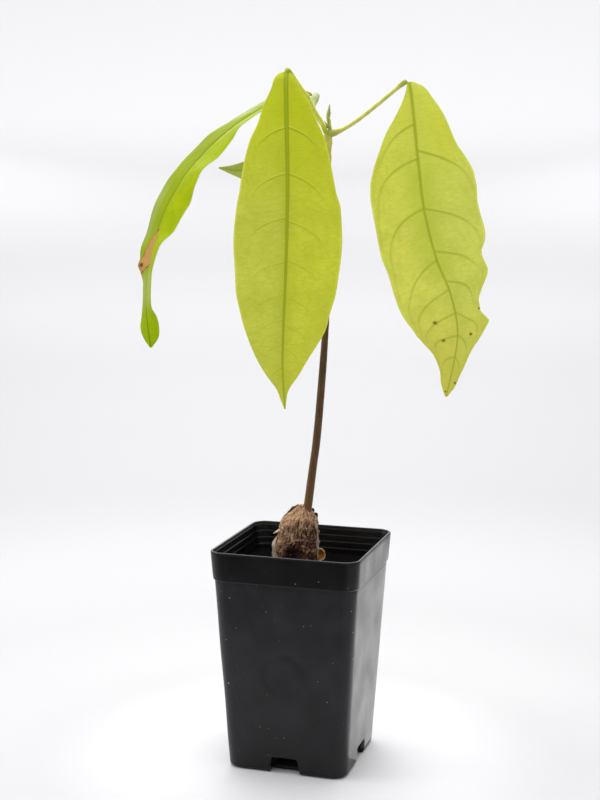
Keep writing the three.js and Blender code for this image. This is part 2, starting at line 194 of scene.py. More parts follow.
def walkRoute(route, spanSteps=40):
    # Smooth curve through the points, walked by its length: gives place and direction at t, and the length
    points = [Vector(p) for p in route]
    points = [2 * points[0] - points[1], *points, 2 * points[-1] - points[-2]]
    places = []
    for i in range(1, len(points) - 2):
        a, b, c, d = points[i - 1 : i + 3]
        for k in range(spanSteps):
            s = k / spanSteps
            bend = (2 * a - 5 * b + 4 * c - d) * s * s + (3 * b - a - 3 * c + d) * s**3
            places.append(0.5 * (2 * b + (c - a) * s + bend))
    places.append(points[-2])
    lengths = [0.0]
    for a, b in zip(places, places[1:]):
        lengths.append(lengths[-1] + (b - a).length)
    last = len(places) - 1

    def chord(i):
        return (places[min(last, i + 1)] - places[max(0, i - 1)]).normalized()

    def at(t):
        goal = min(1, max(0, t)) * lengths[-1]
        i = min(last - 1, max(0, bisect.bisect_right(lengths, goal) - 1))
        s = (goal - lengths[i]) / (lengths[i + 1] - lengths[i])
        return places[i].lerp(places[i + 1], s), chord(i).lerp(chord(i + 1), s).normalized()

    return at, lengths[-1]


def nextRing(bm, ring):
    edges = [bm.edges.get((a, b)) for a, b in zip(ring, ring[1:] + ring[:1])]
    made = bmesh.ops.extrude_edge_only(bm, edges=edges)["geom"]
    twins = {tuple(v.co): v for v in made if isinstance(v, bmesh.types.BMVert)}
    return [twins[tuple(v.co)] for v in ring]


def loftRings(bm, rows, count, placeAt):
    # Loft with closed ends: placeAt(row, i) gives the place of vertex i of a row
    ring = bmesh.ops.create_circle(bm, segments=count, radius=1, cap_ends=False)["verts"]
    rings = []
    for number, row in enumerate(rows):
        if number:
            ring = nextRing(bm, ring)
        for i, vert in enumerate(ring):
            vert.co = placeAt(row, i)
        rings.append(ring)
    for end in (rings[0], rings[-1]):
        bmesh.ops.contextual_create(bm, geom=end)
    bmesh.ops.recalc_face_normals(bm, faces=bm.faces)
    return rings


def loftTube(bm, shape, radiusAt, sideways=None, wayLayer=None):
    # Tube round the shape's route, with radiusAt(t, angle, length). Its rings stand square to the route and
    # start across the sideways direction, or lie flat if none is given; wayLayer keeps t.
    at, length = walkRoute(shape["route"])
    sides, rows = shape["sides"], shape["rows"]

    def placeAt(row, i):
        t, angle = row / rows, 2 * math.pi * i / sides
        centre, direction = at(t)
        across, up = Vector((1, 0, 0)), Vector((0, 1, 0))
        if sideways:
            across = direction.cross(sideways).normalized()
            up = across.cross(direction)
        return centre + (across * math.cos(angle) + up * math.sin(angle)) * radiusAt(t, angle, length)

    for row, ring in enumerate(loftRings(bm, range(rows + 1), sides, placeAt)):
        for vert in ring if wayLayer else ():
            vert[wayLayer] = row / rows


def addScale(bm, foot, tip, width, tipWidth, flatness, segments):
    # Flattened cone from foot to tip
    made = bmesh.ops.create_cone(
        bm, segments=segments, cap_ends=True, radius1=width, radius2=tipWidth, depth=(tip - foot).length
    )["verts"]
    bmesh.ops.scale(bm, vec=(*flatness, 1), verts=made)
    bmesh.ops.rotate(bm, matrix=(tip - foot).to_track_quat("Z", "Y").to_matrix(), verts=made)
    bmesh.ops.translate(bm, vec=(foot + tip) / 2, verts=made)
    return made


# Studio: white sweep all round, soft light from above and a bright panel behind on the right
studioSettings = {
    "floorRadius": 850,
    "bendRadius": 1700,
    "wallTop": 2400,
    # The floor lies this far under the pot, so that the two faces don't flicker
    "floorGap": 0.2,
    # Shades of the paper outwards, each with the distances at which it starts and is full: painted light
    # and shade over the sweep, lighter round the pot's foot, a little greyer from some way behind the
    # object, and whitest high up
    "paperMiddle": "#D9D9DA",
    "paper": [
        ("#C0C0C1", 60, 170),
        ("#B8B8B9", 170, 340),
        ("#ACACAD", 400, 850),
        ("#B1B1B2", 1350, 1600),
        ("#DDDDDE", 1670, 2080),
    ],
    "worldColor": "#FBFBFC",
    "worldStrength": 1.15,
    # Name, middle, point it faces, size and power
    "lights": [
        ("lightAbove", (-100, 250, 1500), (0, 0, 200), (1200, 1200), 15.5),
        ("lightBehind", (-430, 1430, 1100), (0, 0, 200), (1400, 900), 15),
        ("lightLeft", (-1150, -350, 700), (0, 0, 200), (700, 900), 4.5),
        ("lightWall", (-260, 860, 1700), (-700, 2300, 900), (1500, 500), 9),
        ("sheenPanel", (95, 250, 3), (95, 250, 900), (240, 520), 0.35),
    ],
    "onlySheen": "sheenPanel",
    # Black card on the floor in front, which only shows in glossy surfaces: it stands in for the dim room
    # in front and gives the pot a painted dark reflection
    "card": {"middle": (-130, -480, 1), "size": (700, 420), "color": "#0A0A0A"},
}


def makeStudio(settings):
    floor, bend = settings["floorRadius"], settings["bendRadius"]
    profile = [(0, 0), (floor, 0)]
    for degrees in range(9, 91, 9):
        angle = math.radians(degrees)
        profile.append((floor + bend * math.sin(angle), bend * (1 - math.cos(angle))))
    profile.append((floor + bend, settings["wallTop"]))
    material, tree = startMaterial("whiteBackgroundPaper")
    flat = addNode(tree, "VectorMath", {"operation": "MULTIPLY", 0: placeInMm(tree), 1: (1, 1, 0)})
    away = addNode(tree, "VectorMath", {"operation": "LENGTH", 0: flat}, "Value")
    layers = [(away, start, end, 1, shade) for shade, start, end in settings["paper"]]
    color = layShades(tree, settings["paperMiddle"], layers, "SMOOTHSTEP")
    shader = {"Base Color": color, "Roughness": 0.9, "Specular IOR Level": 0.1}
    shader = addNode(tree, "BsdfPrincipled", shader)
    addNode(tree, "OutputMaterial", {"Surface": shader}, None)
    bm = bmesh.new()
    verts = [bm.verts.new((x, 0, z - settings["floorGap"])) for x, z in profile]
    edges = [bm.edges.new(pair) for pair in zip(verts, verts[1:])]
    bmesh.ops.spin(
        bm, geom=verts + edges, cent=(0, 0, 0), axis=(0, 0, 1), angle=2 * math.pi, steps=96, use_merge=True
    )
    bmesh.ops.remove_doubles(bm, verts=bm.verts, dist=0.01)
    bmesh.ops.recalc_face_normals(bm, faces=bm.faces)
    makeObject("paperSweep", bm, material)
    for name, place, aim, size, power in settings["lights"]:
        data = bpy.data.lights.new(name, "AREA")
        data.shape = "RECTANGLE"
        data.size, data.size_y = size[0] * mm, size[1] * mm
        data.energy = power
        light = bpy.data.objects.new(name, data)
        light.location = Vector(place) * mm
        light.rotation_euler = (Vector(aim) - Vector(place)).to_track_quat("-Z", "Y").to_euler()
        light.visible_camera = False
        # The panel behind on the right only shows in glossy surfaces
        light.visible_diffuse = light.visible_transmission = name != settings["onlySheen"]
        bpy.context.scene.collection.objects.link(light)
    # The black card: a dark sheet standing in for the dim room in front, seen only in reflections
    material, tree = startMaterial("blackCardboard")
    shader = addNode(tree, "BsdfDiffuse", {"Color": settings["card"]["color"]})
    addNode(tree, "OutputMaterial", {"Surface": shader}, None)
    bm = bmesh.new()
    made = bmesh.ops.create_grid(bm, x_segments=1, y_segments=1, size=0.5)["verts"]
    bmesh.ops.scale(bm, vec=(*settings["card"]["size"], 1), verts=made)
    bmesh.ops.translate(bm, vec=settings["card"]["middle"], verts=made)
    card = makeObject("blackCard", bm, material, smooth=False)
    card.visible_camera = card.visible_diffuse = card.visible_transmission = card.visible_shadow = False
    world = bpy.data.worlds.new("studioWorld")
    world.use_nodes = True
    background = world.node_tree.nodes["Background"]
    background.inputs["Color"].default_value = toLinear(settings["worldColor"])
    background.inputs["Strength"].default_value = settings["worldStrength"]
    bpy.context.scene.world = world
    bpy.context.scene.view_settings.view_transform = "Standard"


makeStudio(studioSettings)
print("stage: camera and studio ready")


# Leaves. leafMesh holds thicknesses and heights in mm: the midrib and the side veins stand out above and
# more so below, spread is their half width, quilt the swelling of the blade between two side veins.
leafMesh = {
    "rows": 300,
    "columns": 110,
    "thickness": 0.36,
    "edgeThickness": 0.22,
    "ribTop": 0.3,
    "ribUnder": 1.0,
    "ribSpread": 0.7,
    "veinTop": 0.16,
    "veinUnder": 0.4,
    "veinSpread": 0.55,
    "quilt": 0.5,
    "ripple": 0.22,
    "rippleSize": 9,
}
leafLayers = ("alongLeaf", "acrossLeaf", "veinPhase", "veinGap", "bladeWay")
# The midrib's route, the direction of the right half and the roll about the midrib in degrees; rows of way
# along the leaf, half widths to the left and right and how far those edges lift; where the side veins leave
# the midrib, and how steeply they sweep towards the tip on each side.
leafShapes = {
    "leaf_front": {
        "rib": [
            (0.1, -35.8, 403.2), (0.8, -39.1, 396.4), (2.1, -42.1, 376.8), (3, -43, 347.1),
            (2.8, -43, 319.9), (1.5, -41.3, 292.3), (-0.4, -38.8, 265.9), (-1.8, -36.1, 240.8),
            (-1.3, -32.8, 215.9),
        ],
        "across": (0.957, 0.29, 0),
        "roll": [[0, 0], [1, 0]],
        "halves": [
            [0, 1.4, 1.3, 0, 0], [0.005, 3.2, 2.5, 0, 0], [0.01, 4.6, 3.6, -0.1, -0.1],
            [0.03, 6.8, 5.4, -0.3, -0.3], [0.05, 8, 7.6, -0.5, -0.5], [0.075, 10.2, 10.7, -0.8, -0.7],
            [0.1, 12.6, 13.2, -1, -1], [0.12, 13.9, 14.3, -1.2, -1.1], [0.15, 15.8, 16.7, -1.5, -1.3],
            [0.2, 20.4, 20.8, -2, -1.5], [0.25, 23.4, 23.2, -2.5, -1.8], [0.3, 25.4, 25, -3, -2],
            [0.35, 26.8, 26.9, -3.3, -2.3], [0.4, 28.4, 29.7, -3.5, -2.5], [0.5, 29.8, 30.9, -3.5, -2.5],
            [0.6, 28.3, 29.6, -3, -2.5], [0.65, 27.5, 28.5, -2.5, -2.3], [0.7, 25.3, 26.1, -2, -2],
            [0.75, 22.6, 24, -1.8, -1.5], [0.8, 18.9, 19.6, -1.5, -1], [0.85, 14.3, 14.3, -1, -0.7],
            [0.9, 8.8, 8.8, -0.5, -0.5], [0.93, 4.9, 4.4, -0.2, -0.2], [0.945, 3.5, 2.6, -0.1, -0.1],
            [0.96, 2.7, 1.6, 0, 0], [0.98, 1.6, 0.9, 0, 0], [1, 0.35, 0.3, 0, 0],
        ],
        "arch": 5,
        "wave": 0.8,
        "veins": (
            [0.165, 0.296, 0.423, 0.553, 0.65, 0.725, 0.8, 0.87],
            [0.163, 0.296, 0.433, 0.547, 0.655, 0.74, 0.81, 0.87],
        ),
        "sweep": (0.026, 0.031),
        "droop": (0.012, 0.02),
    },
    "leaf_right": {
        "rib": [
            (57.4, 15.3, 400.7), (59.3, 13.8, 392.1), (61.9, 12.5, 373.5), (64.4, 13.2, 351),
            (67.8, 14.3, 327.1), (74.1, 18.3, 301), (82.2, 22.8, 279.8), (86, 26.1, 259.8),
            (84.8, 26.7, 243.2), (80, 26.3, 219),
        ],
        "across": (0.957, 0.29, 0),
        "roll": [[0, 0], [1, 0]],
        "halves": [
            [0, 1.2, 2.1, 0, 0], [0.02, 2.4, 8, -0.2, -0.4], [0.05, 4.8, 11.7, -0.5, -1],
            [0.1, 10.4, 16.9, -1, -2], [0.15, 16.9, 20.2, -1.5, -2.7], [0.2, 21.5, 23.4, -2, -3],
            [0.25, 25.8, 28.4, -2.3, -3], [0.3, 28.7, 31.7, -2.5, -3], [0.35, 29.5, 32.3, -2.8, -3.3],
            [0.4, 29.5, 31.7, -3, -3.5], [0.5, 30.3, 32.1, -3, -3.5], [0.55, 29.5, 29.4, -2.6, -1.7],
            [0.6, 30.7, 25.5, -2.2, -2.1], [0.64, 31.3, 25.8, -2, -3], [0.68, 31, 18.8, -2, -1.6],
            [0.71, 30, 14.8, -2, 0.3], [0.735, 28.7, 14.6, -2, -0.3], [0.755, 27.3, 17.2, -2, -2],
            [0.768, 26.4, 19.3, -2, -2.8], [0.785, 25.3, 17.3, -2, -2.8], [0.81, 24.1, 13.6, -1.8, -1.9],
            [0.84, 20.2, 9.8, -1.4, -0.8], [0.87, 13.7, 7.8, -0.9, -0.2], [0.9, 9.7, 6.4, -0.5, 0],
            [0.93, 6.6, 5, -0.2, 0], [0.96, 4.9, 4, 0, 0], [1, 0.8, 0.8, 0, 0],
        ],
        "arch": 5,
        "wave": 1.2,
        "veins": (
            [0.13, 0.235, 0.387, 0.552, 0.652, 0.73, 0.802, 0.87],
            [0.209, 0.387, 0.523, 0.625, 0.727, 0.8, 0.87],
        ),
        "sweep": (0.03, 0.018),
        "droop": (0.012, 0.05),
    },
    "leaf_left": {
        "rib": [
            (-3.8, 31.2, 395.5), (-10.7, 31.2, 397.1), (-21.5, 30, 394.8), (-35, 27, 388.1),
            (-51.8, 18.8, 376), (-62.8, 12.3, 364.7), (-73.2, 6, 351.9), (-80.8, 0.6, 338.2),
            (-86.6, -4.3, 324.1), (-91.8, -9.7, 303), (-93.9, -12.8, 283.4), (-93.6, -13.7, 266),
            (-91.1, -14, 246.3),
        ],
        "across": (0.29, -0.957, 0),
        "roll": [
            [0, 14], [0.4, 16], [0.6, 15], [0.72, 15], [0.77, 14], [0.81, 13], [0.85, 13.6], [0.88, 16.5],
            [0.91, 25], [0.94, 36], [0.97, 46], [1, 54],
        ],
        "halves": [
            [0, 1.5, 1.5, 0, 0], [0.05, 6.5, 6.5, 0.4, -0.7], [0.1, 11.5, 11.5, 0.8, -0.2],
            [0.15, 16, 16, 0.3, 1.1], [0.2, 20, 20, -0.4, 2.5], [0.26, 23.6, 23.6, -0.8, 2.7],
            [0.32, 26.6, 26.6, 0.7, -0.2], [0.38, 28.6, 28.6, 0.1, -1.4], [0.44, 29.8, 29.8, 0.5, 0.1],
            [0.5, 30.3, 30.3, 1.8, -2.1], [0.57, 29.6, 29.6, 2, -5.7], [0.65, 27.6, 27.6, 1.3, -4.5],
            [0.71, 25.5, 25.5, 2.6, 0.7], [0.735, 24, 24, 2.1, 1], [0.757, 22.9, 22.9, 3.2, 1],
            [0.775, 21.6, 21.7, 1.6, 0.9], [0.81, 19, 19.5, -0.1, 0.1], [0.85, 15.8, 15.7, 0, -0.5],
            [0.88, 13, 12.7, 0.1, -0.6], [0.91, 10.2, 10.7, 0.1, -2.3], [0.94, 8.5, 8.5, 0.6, -2.7],
            [0.97, 5.4, 6.2, 0.3, -2.3], [1, 0.8, 0.8, 0, 0],
        ],
        "arch": 3,
        "wave": 0,
        "veins": (
            [0.06, 0.15, 0.27, 0.4, 0.53, 0.64, 0.73, 0.81, 0.88],
            [0.08, 0.17, 0.29, 0.42, 0.55, 0.655, 0.745, 0.82, 0.88],
        ),
        "sweep": (0.026, 0.026),
        "droop": (0.03, 0.03),
    },
    "leaf_back": {
        "rib": [
            (-2.2, 19.1, 367.5), (-10.8, 29.6, 366.4), (-21.6, 40.5, 362.9), (-43.7, 65.1, 357.6),
            (-67.6, 86.1, 353.2), (-91.5, 106, 355.1),
        ],
        "across": (-0.69, -0.72, 0),
        "roll": [[0, -35], [0.5, -62], [1, -62]],
        "halves": [
            [0, 1.5, 1.5, 0, 0], [0.05, 5, 5, 0, 0], [0.1, 9, 9, -0.5, -0.5], [0.2, 15, 15, -1, -1],
            [0.3, 18.6, 18.6, -1.5, -1.5], [0.42, 19.8, 18, -1.5, -1.5], [0.52, 18.5, 13.5, -1, -1],
            [0.6, 16.5, 9, -0.5, -0.5], [0.68, 13, 5.8, 0, 0], [0.75, 8.8, 5.1, 0, 0],
            [0.81, 6.4, 4.2, 0, 0], [0.9, 3.4, 2.3, 0, 0], [1, 0.6, 0.6, 0, 0],
        ],
        "arch": 4,
        "wave": 0.6,
        "veins": (
            [0.07, 0.17, 0.29, 0.41, 0.52, 0.63, 0.73, 0.82],
            [0.08, 0.18, 0.3, 0.42, 0.54, 0.64, 0.74, 0.83],
        ),
        "sweep": (0.03, 0.03),
        "droop": (0.03, 0.03),
    },
}

# Thin young blade: light passes through it, the veins are a little darker, the surface softly waxy.
# clouds, nearRib and net are strengths; veinEnd is how far out a side vein shows, lowVeins its strength
# towards the tip; ribLines are (outer, inner, strength, colour) of the midrib's lines; strips are (start,
# end, start across, end across, strength, colour); spots are (way along, mm across, radius).
leafLook = {
    "clouds": 0.4,
    "nearRib": 0.3,
    "net": 0.3,
    "ribHalf": 1.0,
    "veinEnd": 0.9,
    "lowVeins": 0.5,
    "sheen": 0.3,
    "ribLines": [(1.7, 0.3, 0.8, "ribEdge"), (0.5, 0.1, 0.3, "ribMiddle")],
    "strips": [],
    "spots": [],
}
leafLooks = {
    "leaf_front": {
        **leafLook,
        "left": "#E4E76A", "right": "#E8EB55", "shade": "#C4CB34", "tip": "#DBDB64", "margin": "#F1F387",
        "ribMiddle": "#BCC82C", "ribEdge": "#A6B314", "veinRidgeTintAndHighlight": "#EEF05E", "veinEdgeTintAndShade": "#A6B21A",
        "network": "#BFC939", "clouds": 0.35, "nearRib": 0.35, "net": 0.38, "ribHalf": 1.1,
        "veinEnd": 0.86, "lowVeins": 0.25, "foot": "#D5DC1E",
        "ribLines": [(1.45, 1.0, 0.8, "ribEdge"), (0.8, 0.45, 0.85, "ribMiddle")],
    },
    "leaf_right": {
        **leafLook,
        "left": "#ECED7E", "right": "#E7EB80", "shade": "#CBD15B", "tip": "#DAD265", "margin": "#F6F49B",
        "ribMiddle": "#BFC83E", "ribEdge": "#B4BE2C", "veinRidgeTintAndHighlight": "#BFC848", "veinEdgeTintAndShade": "#C1C94C",
        "network": "#C7CE58", "nearRib": 0.15, "net": 0.38, "ribHalf": 0.9, "veinEnd": 1.15,
        "lowVeins": 0.7, "foot": "#E2E663", "sheen": 0.35,
        "strips": [
            (0.07, 0.25, 0.5, 0.9, 0.3, "#E9E93F"), (0.27, 0.62, -0.3, 0.25, 0.4, "#C9D83E"),
        ],
        "spots": [
            (0.751, -12.7, 1.05), (0.822, -8.1, 0.9), (0.799, 7.9, 0.7), (0.952, 3.3, 0.6),
            (0.985, -1.1, 0.5), (0.73, 13.9, 0.45),
        ],
    },
    "leaf_left": {
        **leafLook,
        "left": "#AABA1C", "right": "#BECC11", "shade": "#96A910", "tip": "#BAD625", "margin": "#CAD353",
        "ribMiddle": "#7D9008", "ribEdge": "#7A8C07", "veinRidgeTintAndHighlight": "#B7C42E", "veinEdgeTintAndShade": "#95A80D",
        "network": "#A2B419", "ribHalf": 1.6, "foot": "#A7B710", "sheen": 0.02,
        "ribLines": [(1.6, 0.5, 0.95, "ribEdge"), (0.4, 0.1, 0.2, "ribMiddle")],
        # Pale strips: partly the paler underside of the folded margin, partly painted sheen; the dark strip
        # is painted shade on the far half near the foot
        "strips": [
            (0.1, 0.23, -1.3, -0.4, 0.8, "#C3CFA0"), (0.26, 0.4, -1.3, -0.05, 0.4, "#95A308"),
            (0.5, 0.68, -1.3, -0.55, 0.35, "#C3CFA0"), (0.785, 0.875, -1.3, 1.3, 0.45, "#D6DC9A"),
        ],
    },
    "leaf_back": {
        **leafLook,
        "left": "#BFC85E", "right": "#B5BE4D", "shade": "#A4B03D", "tip": "#B5BE4C", "margin": "#DBE27D",
        "ribMiddle": "#9CAA2D", "ribEdge": "#8D9C2C", "veinRidgeTintAndHighlight": "#C3CD63", "veinEdgeTintAndShade": "#9DA935",
        "network": "#A4B043", "foot": "#B5BE4D",
    },
}
# Dead wedge beside the midrib of the left leaf
leafPatch = {
    "start": 0.65,
    # Where it ends at the midrib, and how much further, in mm, at the outer margin
    "end": 0.76,
    "slant": 5,
    # Reach of the wedge, as a share of the half blade: value at t 0.7 and growth with t
    "wedge": (0.42, 9.5),
    "over": 0.16,
    "halfBlade": 24.0,
    "spot": (0.756, -0.7, 1.0),
    "tan": "#D6AC66",
    "pale": "#B9A85A",
    "brown": "#7A5222",
}
# Dead spots: halo, ring and middle, each with the shares of the radius at which it starts and is full
deadSpot = [(2.6, 1.9, "#C9B84A"), (1.75, 1.5, "#A88A3C"), (1.25, 1.0, "#5A4A20")]


def veinPhases(shape, length, t, v):
    # Phase that passes a whole number at each side vein, and the spacing of the veins square to them.
    # A vein leaves the midrib at a slant and sweeps more steeply as it nears the margin. It sweeps less
    # near the leaf's two ends, so the place where the vein through this point started is found in steps.
    half = 0 if v < 0 else 1
    sweep, droop = shape["sweep"][half], shape["droop"][half]
    reach = min(0.94, abs(v))
    lean = sweep * reach / (1.05 - reach) + droop * reach
    start = t
    for _ in range(6):
        start = t - lean * max(0.05, math.sin(math.pi * min(0.95, max(0.02, start)))) ** 0.6
    marks = [-0.08, *shape["veins"][half], 1.0]
    k = min(len(marks) - 2, max(0, bisect.bisect_right(marks, start) - 1))
    width = marks[k + 1] - marks[k]
    slant = (sweep * 1.05 / (1.05 - reach) ** 2 + droop) * length / 30
    return k + (start - marks[k]) / width, width * length / math.sqrt(1 + slant * slant)


def leafRow(shape, at, t):
    middle, tangent = at(t)
    acrossStart = Vector(shape["across"])
    across = (acrossStart - tangent * acrossStart.dot(tangent)).normalized()
    normal = tangent.cross(across)
    roll = math.radians(along(shape["roll"], t))
    turned = normal * math.cos(roll) + across * math.sin(roll)
    across = across * math.cos(roll) - normal * math.sin(roll)
    return middle, across, turned, [along(shape["halves"], t, column) for column in range(1, 5)]


def placeOnLeaf(shape, row, t, v, side, phase, gap, length):
    middle, across, normal, (left, right, liftLeft, liftRight) = row
    half, edgeLift = (left, liftLeft) if v < 0 else (right, liftRight)
    way = abs(v)
    reach = v * half
    # Five waves along each margin, out of step with each other
    wave = shape["wave"] * v * v * math.sin(2 * math.pi * (5 * t + (0.1 if v < 0 else 0.55)))
    arch = math.tan(math.radians(shape["arch"]))
    lift = abs(reach) * arch * (1 - way) + edgeLift * way**1.5 + wave * min(1, half / 15)
    # The blade swells a little between the side veins, and has a slight uneven ripple
    inside = min(1, half / 12) * (1 - way**4) * min(1, abs(reach) / 4)
    fading = 1 - 0.75 * min(1, t / 0.6)
    lift += leafMesh["quilt"] * math.sin(math.pi * phase) ** 2 * inside * fading
    grid = leafMesh["rippleSize"]
    lift += leafMesh["ripple"] * noise.noise(Vector((t * length / grid, reach / grid, length))) * inside
    level = math.sqrt(1 - min(0.9, abs(edgeLift) / half) ** 2)
    thick = leafMesh["thickness"] + (leafMesh["edgeThickness"] - leafMesh["thickness"]) * v * v
    taper = (1 - 0.75 * t) * min(1, half / 3)
    rib = math.exp(-((reach / (leafMesh["ribSpread"] * (1 - 0.55 * t))) ** 2)) * taper
    apart = (0.5 - abs(phase % 1 - 0.5)) * gap
    vein = math.exp(-((apart / leafMesh["veinSpread"]) ** 2)) * (1 - way**6) * min(1, half / 8) * fading
    face = "Top" if side > 0 else "Under"
    raised = leafMesh["rib" + face] * rib + leafMesh["vein" + face] * vein
    return middle + across * (reach * level) + normal * (lift + side * (thick / 2 + raised))


def growLeaf(node, name, shape, material):
    at, length = walkRoute(shape["rib"])
    rows = leafMesh["rows"]
    bm = bmesh.new()
    layers = [bm.verts.layers.float.new(layer) for layer in leafLayers]
    bmesh.ops.create_grid(bm, x_segments=leafMesh["columns"], y_segments=rows, size=1)
    frames = [leafRow(shape, at, i / rows) for i in range(rows + 1)]
    for vert in bm.verts:
        t, v = (vert.co.y + 1) / 2, vert.co.x
        half = frames[round(t * rows)][3][0 if v < 0 else 1]
        for layer, value in zip(layers, (t * length, v * half, *veinPhases(shape, length, t, v), v)):
            vert[layer] = value
    upper = bm.verts[:]
    copied = bmesh.ops.duplicate(bm, geom=bm.verts[:] + bm.edges[:] + bm.faces[:])["geom"]
    under = [part for part in copied if isinstance(part, bmesh.types.BMVert)]
    rims = [edge for edge in bm.edges if edge.is_boundary]
    bmesh.ops.reverse_faces(bm, faces=[part for part in copied if isinstance(part, bmesh.types.BMFace)])
    for side, verts in ((1, upper), (-1, under)):
        for vert in verts:
            away, _, phase, gap, v = [vert[layer] for layer in layers]
            t = away / length
            vert.co = placeOnLeaf(shape, frames[round(t * rows)], t, v, side, phase, gap, length)
    bmesh.ops.bridge_loops(bm, edges=rims)
    bmesh.ops.recalc_face_normals(bm, faces=bm.faces)
    return finishPiece(name, bm, material, [node])


def paintPatch(tree, color, patch, alongLeaf, bladeWay, place, rough, length):
    # Dead wedge, wider towards the tip: tan with a thin dark rim and a dark spot. Its edge is where the
    # smallest of four distances in millimetres passes nought.
    way = addNode(tree, "Math", {"operation": "DIVIDE", 0: alongLeaf, 1: length})
    ragged = addNode(tree, "TexNoise", {"Vector": place, "Scale": 0.35, "Detail": 4.0})
    ragged = addNode(tree, "Math", {"operation": "MULTIPLY_ADD", 0: ragged, 1: 5.0, 2: -2.5})
    least, growth = patch["wedge"]
    wide = addNode(tree, "Math", {"operation": "MULTIPLY_ADD", 0: way, 1: growth, 2: least - 0.7 * growth})
    wide = addNode(tree, "Math", {"operation": "ADD", 0: wide, 1: bladeWay})
    over = addNode(tree, "Math", {"operation": "SUBTRACT", 0: patch["over"], 1: bladeWay})
    inside = addNode(tree, "Math", {"operation": "MINIMUM", 0: wide, 1: over})
    inside = addNode(tree, "Math", {"operation": "MULTIPLY", 0: inside, 1: patch["halfBlade"]})
    for limit, sign, slant in ((patch["start"], 1.0, 0.0), (patch["end"], -1.0, -patch["slant"])):
        line = {"operation": "MULTIPLY_ADD", 0: way, 1: sign * length, 2: -sign * length * limit}
        line = {"operation": "MULTIPLY_ADD", 0: bladeWay, 1: slant, 2: addNode(tree, "Math", line)}
        inside = addNode(tree, "Math", {"operation": "MINIMUM", 0: inside, 1: addNode(tree, "Math", line)})
    inside = addNode(tree, "Math", {"operation": "ADD", 0: inside, 1: ragged})
    layers = ((-1.3, -0.5, "pale"), (-0.3, 0.0, "brown"), (0.2, 0.6, "tan"))
    color = layShades(tree, color, [(inside, start, end, 1, patch[key]) for start, end, key in layers])
    # Brown grain inside the tan, and the spot, whose place across the leaf is a share of the half blade
    t, reach, radius = patch["spot"]
    spot = addNode(tree, "CombineXYZ", {"X": alongLeaf, "Y": bladeWay})
    spot = {"operation": "MULTIPLY_ADD", 0: spot, 1: (1, 8, 0), 2: (-t * length, -reach * 8, 0)}
    spot = {"operation": "LENGTH", 0: addNode(tree, "VectorMath", spot)}
    spot = addNode(tree, "VectorMath", spot, "Value")
    spot = addNode(tree, "MapRange", {"Value": spot, "From Min": radius + 0.9, "From Max": radius - 0.4})
    tan = addNode(tree, "MapRange", {"Value": inside, "From Min": 0.2, "From Max": 0.6})
    grain = addNode(tree, "MapRange", {"Value": rough, "From Min": 0.5, "From Max": 0.75, "To Max": 0.4})
    grain = addNode(tree, "Math", {"operation": "MULTIPLY", 0: tan, 1: grain})
    grain = addNode(tree, "Math", {"operation": "MAXIMUM", 0: grain, 1: spot})
    return addNode(tree, "Mix", {"data_type": "RGBA", 0: grain, 6: color, 7: patch["brown"]}, 2)


